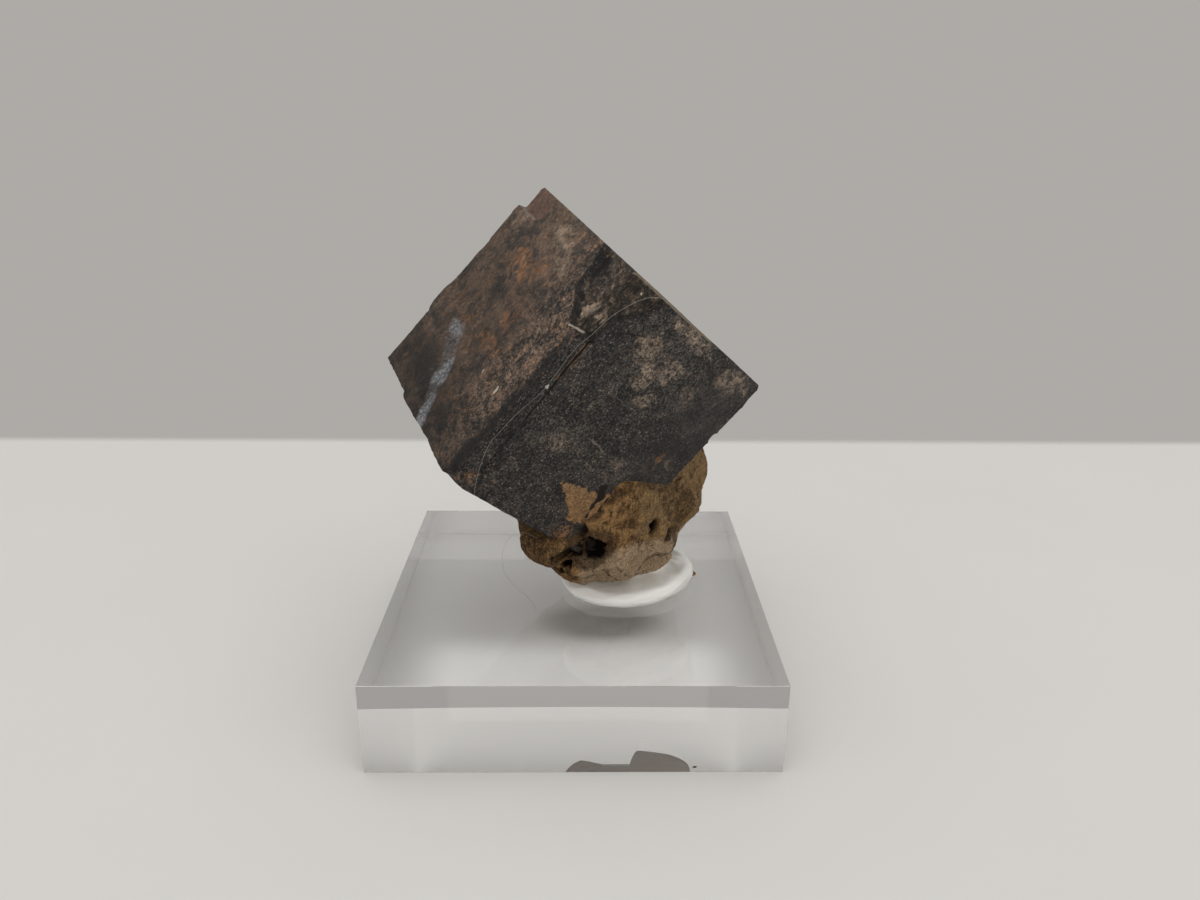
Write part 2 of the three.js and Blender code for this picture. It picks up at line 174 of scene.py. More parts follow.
# How strongly each colour covers a face all over, and soft patches where it is stronger:
# up the ridge, across the face, half size each way, strength
COVER = {
    "left": {"brown": 0.62, "rust": 0.46, "tan": 0.43, "dark": 0.32},
    "right": {"brown": 0.46, "rust": 0.38, "tan": 0.42, "dark": 0.33},
    "others": {"brown": 0.55, "rust": 0.45, "tan": 0.43, "dark": 0.34},
}
PATCHES = {
    "left": {
        "rust": [(21.8, 18, 3.4, 5.0, 0.56), (23.4, 13.6, 2.4, 2.4, 0.55), (12.6, 12.5, 2.2, 6.0, 0.56),
                 (17, 12.5, 3.2, 3.5, 0.54), (12.4, 19, 1.8, 2.5, 0.53), (6, 7, 4, 4, 0.49),
                 (3, 24, 4, 3, 0.5), (13, 25, 4, 3, 0.5)],
        "tan": [(28.3, 14.5, 2.6, 6.0, 0.55), (25.5, 11, 2.4, 4, 0.53), (17, 5, 3.0, 2.4, 0.5),
                (24.2, 1.7, 1.7, 2.6, 0.6), (26, 25, 2.5, 3, 0.53), (12.5, 5, 2, 3, 0.5),
                (9, 24, 3, 4, 0.46)],
        "dark": [(17, 18, 2.0, 2.6, 0.55), (20, 9, 1.5, 2.2, 0.5), (5, 20, 4.5, 3.8, 0.55),
                 (12, 0.4, 10, 1.4, 0.75), (28.9, 6.0, 1.9, 2.1, 1.1), (27.9, 4.0, 2.8, 3.2, 0.7),
                 (3, 1, 5, 2, 0.6), (29, 1, 1.2, 1.5, 0.6)],
        "grey": [(1.4, 12.0, 2.0, 1.0, 1.0), (6.0, 14.9, 2.0, 0.9, 0.9), (10.4, 19.6, 0.9, 2.0, 0.6)],
    },
    "right": {
        "rust": [(15.5, 21.3, 1.3, 1.1, 0.66), (0.9, 18.2, 2.3, 2.8, 0.56), (1.3, 1.8, 1.6, 2.0, 0.52),
                 (25, 1.2, 1.6, 1.2, 0.54), (3, 4, 4, 4, 0.45)],
        "tan": [(25.6, 8.4, 3.0, 2.6, 0.57), (22.8, 10.4, 2.8, 2.6, 0.59), (20.9, 13.2, 2.0, 2.6, 0.58),
                (24.8, 13.6, 2.2, 2.4, 0.54), (24.0, 17.6, 2.0, 2.4, 0.55), (29.2, 12.5, 1.8, 5.5, 0.55),
                (28.2, 21.5, 3.0, 5.0, 0.55), (12.3, 17.5, 1.6, 3.0, 0.53), (10.4, 13.0, 2.0, 3.0, 0.51),
                (10.5, 8.0, 2.4, 4.0, 0.51), (15.4, 22.8, 1.0, 0.8, 0.56), (24.3, 0.6, 1.5, 1.5, 0.6),
                (16.5, 8, 4, 4, 0.47)],
        "dark": [(18, 20.5, 3.5, 4.5, 0.55), (21, 24.5, 5, 2, 0.52), (24.6, 4.6, 4.2, 1.5, 0.62),
                 (10, 1.0, 8, 1.2, 0.55), (8.9, 18, 0.8, 5, 0.6), (28.3, 3.4, 1.8, 1.7, 0.62)],
    },
}

# Soft patches in which a face is brighter, and pale specks, in the same form. The second speck on the right
# face is a painted glint.
TONE = {
    "left": [(28.3, 14.0, 2.6, 4.5, 0.3), (14.5, 5, 4, 2.8, 0.3), (9.5, 25, 3, 3, 0.15)],
    "right": [(28.5, 10.5, 1.8, 2, 0.35), (28, 22.5, 2.5, 2.5, 0.3), (11, 18, 2.2, 5, 0.3),
              (11, 7.5, 3, 4, 0.25)],
}
WHITE_FLECKS = [(10.6, 4.6, 0.5, 0.34, 1.0), (10.6, 9.0, 0.35, 0.25, 0.6), (10.2, 7.3, 0.2, 0.3, 0.5)]
RIGHT_FLECKS = [(15.1, 1.7, 0.26, 0.26, 1.0), (29.2, 3.4, 0.2, 0.2, 0.9)]

# The dab's middle, its round rim's and its footprint's share of its size, and its gap to the block. Brown
# ovals show through its underside. Between two directions, in degrees, its footprint on the block ends at a
# straight edge behind the middle. The matrix sinks into it.
DAB_PLACE = (7.3, 0.6)
DAB_SIDES = 192
DAB_RIM = 0.16
DAB_RIM_STEPS = 24
DRAWN_UP = 0.75
FOOTPRINT = 0.95
CONTACT_GAP = 0.03
CONTACT_SPOTS = [((1.0, 3.6), (2.6, 4.6)), ((12.3, 4.2), (4.6, 5.2)), ((5.5, 0.2), (6.0, 2.6))]
NOTCH_WAYS = (84.0, 143.0)
NOTCH_FADE = 5.0
NOTCH_EDGE = 2.7
SINK_DEPTH = 0.45
SINK_GRID = 48
BLOCK_SIDES = 240
PLASTIC_IOR = 1.49

# The floor, its glow under the block, the shadow in that glow, and the camera and light
FLOOR_HALF = 700.0
FLOOR_BACK = 98.0
FLOOR_LEVEL = -0.05
GLOW_RIM = (24.9, 24.7)
GLOW_BASE = 0.07
GLOW_FRONT = 0.28
SHADOW_SPOT = (3.5, -2.0)
SHADOW_RADII = (9.0, 5.0)
CAMERA_PLACE = (1.3, -114.5, 73.22)
CAMERA_TURNS = (19.87, 0.94, 0.53)
LAMP_PLACE = (0.05, -0.1, 0.9)
LAMP_SIZE = (1.2, 1.0)
UPPER_GLOW = 0.82

# Colours, as linear red, green and blue
WHITE = (1.0, 1.0, 1.0)
CHARCOAL = (0.012, 0.011, 0.0107)
RUBBLE_DARK = (0.016, 0.013, 0.011)
RUBBLE_BROWN = (0.085, 0.062, 0.043)
# Painted shade in the recess: near black in its dark pocket and along its wall
RECESS_POCKET_SHADE = (0.005, 0.004, 0.004)
RECESS_WALL_SHADE = (0.006, 0.005, 0.005)
FLAKE_BROWN = (0.075, 0.045, 0.034)
# The grey band: partly worn skin, partly painted sheen
BAND_DARK = (0.085, 0.088, 0.098)
BAND_PALE = (0.25, 0.255, 0.268)
GRAIN_PALE = (0.27, 0.225, 0.185)
BARE_OCHRE = (0.28, 0.15, 0.06)
BARE_BROWN = (0.12, 0.066, 0.032)
BARE_PALE = (0.42, 0.27, 0.13)
# Painted highlight along the right face's top edge
TOP_EDGE_HIGHLIGHT_TAN = (0.2, 0.16, 0.115)
# Painted shade in the split beside the bare patch and where the matrix covers the crystal
CREVICE_SHADE_DARK = (0.012, 0.008, 0.006)
CRUMB_ORANGE = (0.42, 0.22, 0.09)
CRACK_BLACK = (0.004, 0.004, 0.004)
# Painted highlight of the thin lines along small steps
HIGHLIGHT_LINE_PALE = (0.38, 0.33, 0.26)
FLECK_AND_GLINT_PALE = (0.5, 0.45, 0.38)
EARTH_BROWN = (0.13, 0.072, 0.032)
EARTH_SAND = (0.38, 0.26, 0.14)
EARTH_ORANGE = (0.36, 0.2, 0.07)
EARTH_CREAM = (0.44, 0.33, 0.22)
EARTH_DARK = (0.045, 0.028, 0.016)
EARTH_SHADE = (0.05, 0.032, 0.019)
EARTH_GRAIN = (0.45, 0.31, 0.17)
# Painted shade in the pits
PIT_SHADE_BLACK = (0.006, 0.004, 0.003)
LINT_DARK = (0.2, 0.19, 0.18)
LINT_PALE = (0.5, 0.48, 0.45)
MILK_INNER = (0.9, 0.9, 0.83)
CONTACT_BROWN = (0.55, 0.49, 0.455)
SHADOW_GREY = (0.4, 0.38, 0.37)


def smooth(low, high, value):
    """Eased step from 0 at low to 1 at high: three t squared less two t cubed."""
    t = np.clip((value - low) / (high - low), 0.0, 1.0)
    return t * t * (3.0 - 2.0 * t)


def value_noise(points, size, seed):
    """Noise from -1 to 1: random values at the corners of cubes of one size, eased between the corners."""
    side = 32
    table = np.random.default_rng(seed).uniform(-1.0, 1.0, (side, side, side))
    cell = points / size
    low = np.floor(cell).astype(int)
    part = smooth(0.0, 1.0, cell - low)
    total = np.zeros(len(points))
    for corner in itertools.product((0, 1), repeat=3):
        share = np.prod(np.where(corner, part, 1.0 - part), axis=1)
        spot = (low + corner) % side
        total += share * table[spot[:, 0], spot[:, 1], spot[:, 2]]
    return total


def rough_noise(points, size, seed, octaves=3):
    """Sum of value noises, each at half the size and half the height of the one before."""
    return sum(value_noise(points, size / 2 ** n, seed + n) / 2 ** n for n in range(octaves))


def inside_by(points, outline):
    """Signed distance from points to a closed outline, above zero inside it: the least distance to its
    sides, with a sign from how many sides a ray crosses."""
    corners = np.array(outline, float)
    nearest = np.full(len(points), np.inf)
    inside = np.zeros(len(points), bool)
    for start, end in zip(corners, np.roll(corners, -1, axis=0)):
        nearest = np.minimum(nearest, segment_distance(points, start, end)[0])
        crosses = (start[1] > points[:, 1]) != (end[1] > points[:, 1])
        rise = end[1] - start[1] if end[1] != start[1] else 1.0
        meets = start[0] + (points[:, 1] - start[1]) * (end[0] - start[0]) / rise
        inside ^= crosses & (points[:, 0] < meets)
    return np.where(inside, nearest, -nearest)


def segment_distance(points, start, end):
    """Distance from points to a segment, and how far along it, from 0 to 1, the nearest place is."""
    edge = end - start
    along = np.clip((points - start) @ edge / (edge @ edge), 0.0, 1.0)
    return np.linalg.norm(points - start - along[:, None] * edge, axis=1), along


def line_distance(points, route):
    """Least distance from points to a chain of segments, in the plane or in space."""
    stops = np.array(route, float)
    return np.min([segment_distance(points, a, b)[0] for a, b in zip(stops[:-1], stops[1:])], axis=0)


def box_grid(counts):
    """The lattice points on a box's surface and the quads between them, all facing outwards. Points on
    the box's edges are shared, so the surface is closed."""
    shell = np.zeros([count + 1 for count in counts], bool)
    shell[[0, -1]] = True
    shell[:, [0, -1]] = True
    shell[:, :, [0, -1]] = True
    number = np.full(shell.shape, -1)
    number[shell] = np.arange(shell.sum())
    quads = []
    for axis, end in itertools.product(range(3), (0, -1)):
        side = np.take(number, end, axis)
        loop = [side[:-1, :-1], side[1:, :-1], side[1:, 1:], side[:-1, 1:]]
        quad = np.stack(loop, axis=-1).reshape(-1, 4)
        outwards = (end == -1) != (axis == 1)
        quads.append(quad if outwards else quad[:, ::-1])
    return np.argwhere(shell), np.concatenate(quads)


def ring_grid(count, sides):
    """Quads and end fans of a closed surface made of so many points: a first pole, rings, a last pole."""
    ring = np.arange(1, count - 1).reshape(-1, sides)
    turned = np.roll(ring, -1, axis=1)
    quads = np.stack([ring[:-1], turned[:-1], turned[1:], ring[1:]], axis=-1).reshape(-1, 4)
    last = count - 1
    first_fan = np.stack([np.zeros(sides, int), turned[0], ring[0]], axis=-1)
    last_fan = np.stack([np.full(sides, last), ring[-1], turned[-1]], axis=-1)
    return quads, np.concatenate([first_fan, last_fan])


def link(name, data):
    """A new object in the scene that holds a mesh, a lamp or a camera."""
    made = bpy.data.objects.new(name, data)
    bpy.context.scene.collection.objects.link(made)
    return made


def write_mesh(name, points, faces, smooth_faces=True):
    """A linked object at the origin whose mesh holds the points, given in millimetres, and the faces."""
    mesh = bpy.data.meshes.new(name)
    mesh.from_pydata((points * MM).tolist(), [], [face for block in faces for face in block.tolist()])
    mesh.polygons.foreach_set("use_smooth", np.full(len(mesh.polygons), smooth_faces))
    mesh.update()
    return link(name, mesh)


def write_weight(piece, name, values):
    """A number for every vertex of a piece, which its material reads by name."""
    layer = piece.data.attributes.new(name, "FLOAT", "POINT")
    layer.data.foreach_set("value", values.astype(np.float32))


def finish_piece(piece, slot, *nodes):
    """Makes a piece ride on the body and hides the CAD nodes that it stands for. The slot is not used."""
    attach(piece, BODY)
    if nodes:
        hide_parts(*nodes)


def cut_by(piece, cutter):
    """Cuts a closed cutter out of a piece for good, and removes the cutter."""
    cut = piece.modifiers.new("cut", "BOOLEAN")
    cut.operation = "DIFFERENCE"
    cut.solver = "MANIFOLD"
    cut.object = cutter
    evaluated = piece.evaluated_get(bpy.context.evaluated_depsgraph_get())
    mesh = bpy.data.meshes.new_from_object(evaluated)
    piece.modifiers.clear()
    piece.data = mesh
    bpy.data.objects.remove(cutter)


class Value:
    """An output of a node. Sums, products and fades of values make further nodes."""

    def __init__(self, nodes, socket):
        self.nodes = nodes
        self.socket = socket

    def combine(self, operation, first, second=0.0):
        return self.nodes.add("ShaderNodeMath", {0: first, 1: second}, operation=operation)

    def __add__(self, other):
        return self.combine("ADD", self, other)

    def __mul__(self, other):
        return self.combine("MULTIPLY", self, other)

    def __sub__(self, other):
        return self.combine("SUBTRACT", self, other)

    def __rsub__(self, other):
        return self.combine("SUBTRACT", other, self)

    def __abs__(self):
        return self.combine("ABSOLUTE", self)

    def at_least(self, other):
        return self.combine("MAXIMUM", self, other)

    def fade(self, low, high, first=0.0, last=1.0, kind="SMOOTHSTEP"):
        """An eased step from first, where the value is low, to last, where it is high."""
        return self.nodes.add("ShaderNodeMapRange", {
            "Value": self, "From Min": low, "From Max": high, "To Min": first, "To Max": last},
            interpolation_type=kind)

    def spread(self, *ends):
        """A straight ramp between the same four numbers."""
        return self.fade(*ends, kind="LINEAR")

    def broken(self, noise, low, high):
        """A painted weight whose rim is broken up by noise."""
        return (self + noise).fade(low, high)

    def part(self, axis):
        """A place's number along one axis."""
        return self.nodes.add("ShaderNodeSeparateXYZ", {0: self}, axis)

    def scaled(self, gain):
        """A colour made brighter or darker."""
        return self.nodes.add("ShaderNodeVectorMath", {0: self, "Scale": gain}, operation="SCALE")


class Nodes:
    """A node tree, to which nodes are added with their sockets set or linked."""

    def __init__(self, tree):
        self.tree = tree

    def add(self, kind, sockets, output=0, **settings):
        made = self.tree.nodes.new(kind)
        for name, value in settings.items():
            setattr(made, name, value)
        for name, value in sockets.items():
            self.put(made.inputs[name], value)
        return Value(self, made.outputs[output])

    def put(self, socket, value):
        if isinstance(value, Value):
            self.tree.links.new(value.socket, socket)
        elif socket.type == "RGBA":
            socket.default_value = (*value, 1.0)
        else:
            socket.default_value = value


class Finish(Nodes):
    """One material, whose places are in millimetres."""

    def __init__(self, name, turn=(0.0, 0.0, 0.0)):
        self.material = bpy.data.materials.new(name)
        self.material.use_nodes = True
        super().__init__(self.material.node_tree)
        coordinates = self.add("ShaderNodeTexCoord", {}, "Object")
        self.place = self.add("ShaderNodeMapping", {
            "Vector": coordinates, "Rotation": turn, "Scale": (1.0 / MM,) * 3})

    def noise(self, size, detail=4.0, roughness=0.55, twist=0.0, stretch=(1.0, 1.0, 1.0)):
        """Noise whose largest cells are about one size across, in millimetres."""
        return self.add("ShaderNodeTexNoise", {
            "Vector": self.add("ShaderNodeMapping", {"Vector": self.place, "Scale": stretch}),
            "Scale": 1.0 / size, "Detail": detail, "Roughness": roughness, "Distortion": twist})

    def weight(self, name):
        """A piece's own number at each vertex."""
        return self.add("ShaderNodeAttribute", {}, "Fac", attribute_name=name)

    def layers(self, colour, *coats):
        """A colour with coats laid over it in order, each a colour and the share that it covers."""
        for coat, share in coats:
            colour = self.add("ShaderNodeMix", {0: share, 6: colour, 7: coat}, 2, data_type="RGBA")
        return colour

    def oval(self, at, radii):
        """Distance on the level from the middle of an oval, counted in its half sizes."""
        away = self.add("ShaderNodeVectorMath", {0: self.place, 1: (*at, 0.0)}, operation="SUBTRACT")
        away = self.add("ShaderNodeVectorMath", {0: away, 1: (1.0 / radii[0], 1.0 / radii[1], 0.0)},
                        operation="MULTIPLY")
        return self.add("ShaderNodeVectorMath", {0: away}, "Value", operation="LENGTH")

    def relief(self, *bumps):
        """Bumps laid over each other, each a height's pattern, its strength and its size in millimetres."""
        lower = {}
        for pattern, strength, size in bumps:
            normal = self.add("ShaderNodeBump", {
                "Height": pattern, "Strength": strength, "Distance": size * MM, **lower})
            lower = {"Normal": normal}
        return normal

    def done(self, **sockets):
        """Sets or links the surface's own sockets and returns the material."""
        for name, value in sockets.items():
            self.put(self.tree.nodes["Principled BSDF"].inputs[name.replace("_", " ")], value)
        return self.material


def length(name, description, default):
    """A setting that is a length, in metres."""
    return bpy.props.FloatProperty(
        name=name, description=description, default=default, unit="LENGTH", precision=6)


def amount(name, description, default):
    """A setting that is a plain number above zero."""
    return bpy.props.FloatProperty(name=name, description=description, default=default, min=0.0)


def tint(name, description, default):
    """A setting that is a colour, as linear red, green and blue."""
    return bpy.props.FloatVectorProperty(
        name=name, description=description, default=default, subtype="COLOR", size=3, min=0.0, max=1.0)


class CrystalSettings(bpy.types.PropertyGroup):
    """Sizes and colours of the crystal."""

    ridge: length("Ridge length", "Length of the front ridge", 0.0306)
    right_width: length("Right face", "Width of the right face", 0.0261)
    left_width: length("Left face", "Width of the left face", 0.0283)
    flake_depth: length("Flake depth", "Depth of the flake lost from the top corner", 0.00105)
    recess_depth: length("Recess depth", "Depth of the break on the front ridge", 0.0009)
    skin: tint("Skin", "Colour of the dark skin", (0.02, 0.018, 0.017))
    brown: tint("Brown", "Colour of the brown skin", (0.072, 0.048, 0.034))
    rust: tint("Rust", "Colour of the rusty mottles", (0.2, 0.095, 0.04))
    tan: tint("Tan", "Colour of the tan mottles", (0.2, 0.153, 0.112))


class MatrixSettings(bpy.types.PropertyGroup):
    """Sizes and colours of the matrix."""

    lump_height: length("Lump height", "Height of one of the three waves of lumps", 0.00025)
    grain_height: length("Grain height", "Height of the fine roughness", 0.0002)
    ochre: tint("Ochre", "Main colour of the matrix", (0.31, 0.182, 0.08))
    pale: tint("Pale", "Colour of the pale, dusty matrix", (0.22, 0.15, 0.082))


class DabSettings(bpy.types.PropertyGroup):
    """Sizes and colour of the adhesive dab."""

    half_length: length("Half length", "Half of the dab's length", 0.0094)
    half_width: length("Half width", "Half of the dab's width", 0.0077)
    turn: bpy.props.FloatProperty(
        name="Turn", description="Angle of the dab's length on the block", default=math.radians(22.0),
        subtype="ANGLE")
    low: length("Low side", "Height on the left", 0.0016)
    high: length("High side", "Height on the right", 0.0029)
    milk: tint("Milk", "Colour of the adhesive", (1.0, 1.0, 0.98))


class BlockSettings(bpy.types.PropertyGroup):
    """Sizes of the display block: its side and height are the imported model's."""

    side: length("Side", "Side of the square block", BLOCK_BOX[1][0] - BLOCK_BOX[0][0])
    height: length("Height", "Height of the block", BLOCK_BOX[1][2])
    bevel: length("Bevel", "Width of the polished bevel", 0.000015)


class StageSettings(bpy.types.PropertyGroup):
    """Floor, light and camera."""

    floor: tint("Floor", "Colour of the floor", (0.80, 0.795, 0.775))
    backdrop: tint("Surroundings", "Colour of the light all round", (0.42, 0.405, 0.385))
    light: amount("Lamp power", "Power of the overhead lamp in watts", 3.95)
    front: amount("Front glow", "Extra brightness of the surroundings in front", 1.3)
    lens: amount("Lens", "Focal length in millimetres on a sensor 36 mm wide", 27.417)


class SPECIMEN_OT_crystal(bpy.types.Operator):
    """Build the dark crystal: worn edges, broken places and mottled skin"""
    bl_idname = "specimen.crystal"
    bl_label = "Crystal"

    def execute(self, context):
        settings = context.scene.specimen_crystal
        base, quads, size = crystal_base(settings)
        crystal = write_mesh("limonite_crystal", out_of_crystal(crystal_shape(base, size, settings)), [quads])
        for name, values in crystal_weights(base, size).items():
            write_weight(crystal, name, values)
        crystal.data.materials.append(crystal_finish(settings))
        finish_piece(crystal, "crystal", "crystal")
        return {"FINISHED"}


def crystal_size(settings):
    return np.array([settings.ridge, settings.right_width, settings.left_width]) / MM


def out_of_crystal(points):
    """Places in the frame of the whole object, from places in the crystal's own frame."""
    return CRYSTAL_PLACE + points @ CRYSTAL_AXES.T


def crystal_base(settings):
    """Points on a plain box, closer together towards its edges: along each side the place is its length
    times t less k sine two pi t over two pi."""
    size = crystal_size(settings)
    lattice, quads = box_grid(CRYSTAL_GRID)
    t = lattice / np.array(CRYSTAL_GRID)
    return size * (t - EDGE_CROWDING * np.sin(2 * np.pi * t) / (2 * np.pi)), quads, size


# The crystal's faces: the axis that each is square to, which end of it, and the two axes along the face
FACES = {
    "left": (1, 0, (0, 2)), "right": (2, 0, (0, 1)), "top": (0, 1, (1, 2)),
    "low": (0, 0, (1, 2)), "back": (2, 1, (0, 1)), "under": (1, 1, (0, 2)),
}


def away_from(name, base, size):
    """Distance from points to the plane of one of the crystal's faces."""
    axis, end, _ = FACES[name]
    return size[axis] - base[:, axis] if end else base[:, axis]


def on_face(name, base, size):
    """Share, from 0 to 1, in which points belong to a face: all on it, none from half a millimetre away."""
    return 1.0 - smooth(0.05, 0.5, away_from(name, base, size))


def face_depth(name, spots, points, settings):
    """How far a face lies under its flat plane: each broken place or terrace goes down by its depth over
    a narrow eased wall inside its outline."""
    depth = np.zeros(len(spots))
    ragged = spots + 0.35 * np.stack([value_noise(points, 1.1, 3), value_noise(points, 1.1, 4)], axis=-1)
    if name == "left":
        flake = settings.flake_depth / MM
        depth = np.maximum(depth, flake * smooth(-0.1, 0.3, inside_by(spots, FLAKE_OUTLINE)))
        depth = np.maximum(depth, recess_depth(inside_by(ragged, RECESS_LEFT), points, settings))
        depth = np.maximum(depth, SMALL_FLAKE_DEPTH * smooth(-0.1, 0.4, inside_by(ragged, SMALL_FLAKE)))
        depth -= STEP_RISE * smooth(-1.7, 0.1, inside_by(ragged, STEP_OUTLINE))
    if name == "right":
        depth = np.maximum(depth, recess_depth(inside_by(ragged, RECESS_RIGHT), points, settings))
        depth += CRACK_DEPTH * np.exp(-(line_distance(ragged * 0.3 + spots * 0.7, CRACK_LINE) / 0.15) ** 2)
        depth -= 0.12 * smooth(-0.2, 0.3, inside_by(ragged, BARE_PATCH))
    for rise, outline in TERRACES.get(name, []):
        depth += rise * smooth(-0.15, 0.25, inside_by(ragged, outline))
    return depth


def recess_depth(inside, points, settings):
    """The break on the front ridge: a steep wall, and a floor of broken steps with a rough skin."""
    rise = 0.9 + 0.5 * rough_noise(points, 2.4, 11, 2)
    steps = np.floor(rise * 5.0) / 5.0 + smooth(0.6, 1.0, (rise * 5.0) % 1.0) / 5.0
    floor = settings.recess_depth / MM * (steps + 0.14 * rough_noise(points, 0.7, 15, 2))
    return floor * smooth(-0.05, 0.3, inside)


def worn(points, size):
    """Cuts every corner and edge by its wear. Near an edge the two distances to its faces add up to less
    than the wear: half of what is missing is added to both. At a corner it is a third, to all three."""
    shaped = points.copy()
    for axis, ends in itertools.product(range(3), itertools.product((0, 1), repeat=2)):
        one, two = [other for other in range(3) if other != axis]
        away = [size[k] - shaped[:, k] if end else shaped[:, k] for k, end in zip((one, two), ends)]
        along = points[:, axis]
        seed = 20 + axis * 4 + ends[0] * 2 + ends[1]
        uneven = 0.7 * value_noise(points, 1.3, seed) + 0.6 * value_noise(points, 0.4, seed + 9)
        wear = EDGE_WEAR * (1.0 + uneven)
        for chip_axis, chip_ends, start, run, depth in EDGE_CHIPS:
            if chip_axis == axis and chip_ends == ends:
                share = np.clip((along - start) / run, 0.0, 1.0)
                wear = wear + 1.5 * depth * np.sin(np.pi * share) ** 0.6
        missing = np.maximum(wear - away[0] - away[1], 0.0) / 2.0
        for k, end in zip((one, two), ends):
            shaped[:, k] += missing * (-1.0 if end else 1.0)
    for ends in itertools.product((0, 1), repeat=3):
        signs = 1.0 - 2.0 * np.array(ends)
        away = np.where(ends, size - shaped, shaped)
        wear = CORNER_WEAR.get(ends, CORNER_WEAR_ELSEWHERE) * (1.0 + 0.3 * value_noise(points, 1.0, 47))
        missing = np.maximum(wear - away.sum(axis=1), 0.0) / 3.0
        shaped += missing[:, None] * signs
    return shaped


def crystal_shape(base, size, settings):
    """The box with its edges worn. Each face's depth pushes its own points in and, fading out over a few
    millimetres, the points on the faces beside it, so that edges stay closed."""
    shift = np.zeros_like(base)
    for name, (axis, end, along) in FACES.items():
        away = away_from(name, base, size)
        near = away < EDGE_SHIFT_REACH
        depth = face_depth(name, base[near][:, along], base[near], settings)
        inwards = -1.0 if end else 1.0
        shift[near, axis] += inwards * depth * (1.0 - away[near] / EDGE_SHIFT_REACH)
    wave = 0.04 * rough_noise(base, 6.0, 60, 2) + 0.022 * rough_noise(base, 0.8, 70, 3)
    middle = size / 2.0
    from_middle = (base - middle) / middle
    outwards = np.sign(from_middle) * (np.abs(from_middle) > 0.985)
    outwards /= np.maximum(np.linalg.norm(outwards, axis=1), 1.0)[:, None]
    return worn(base, size) + shift + (wave - 0.05)[:, None] * outwards


def patches(spots, table):
    """The strongest of several soft oval spots: each strength times e to the minus fourth power of the
    distance, counted in half sizes."""
    total = np.zeros(len(spots))
    for up, across, half_up, half_across, strength in table:
        reach = ((spots[:, 0] - up) / half_up) ** 2 + ((spots[:, 1] - across) / half_across) ** 2
        total = np.maximum(total, strength * np.exp(-reach ** 2))
    return total


def shown(along, stretches):
    """Share in which a line shows: all of it on its stretches, fading out at their ends."""
    return np.maximum.reduce([smooth(a - 0.2, a + 0.2, along) * smooth(b + 0.2, b - 0.2, along)
                              for a, b in stretches])


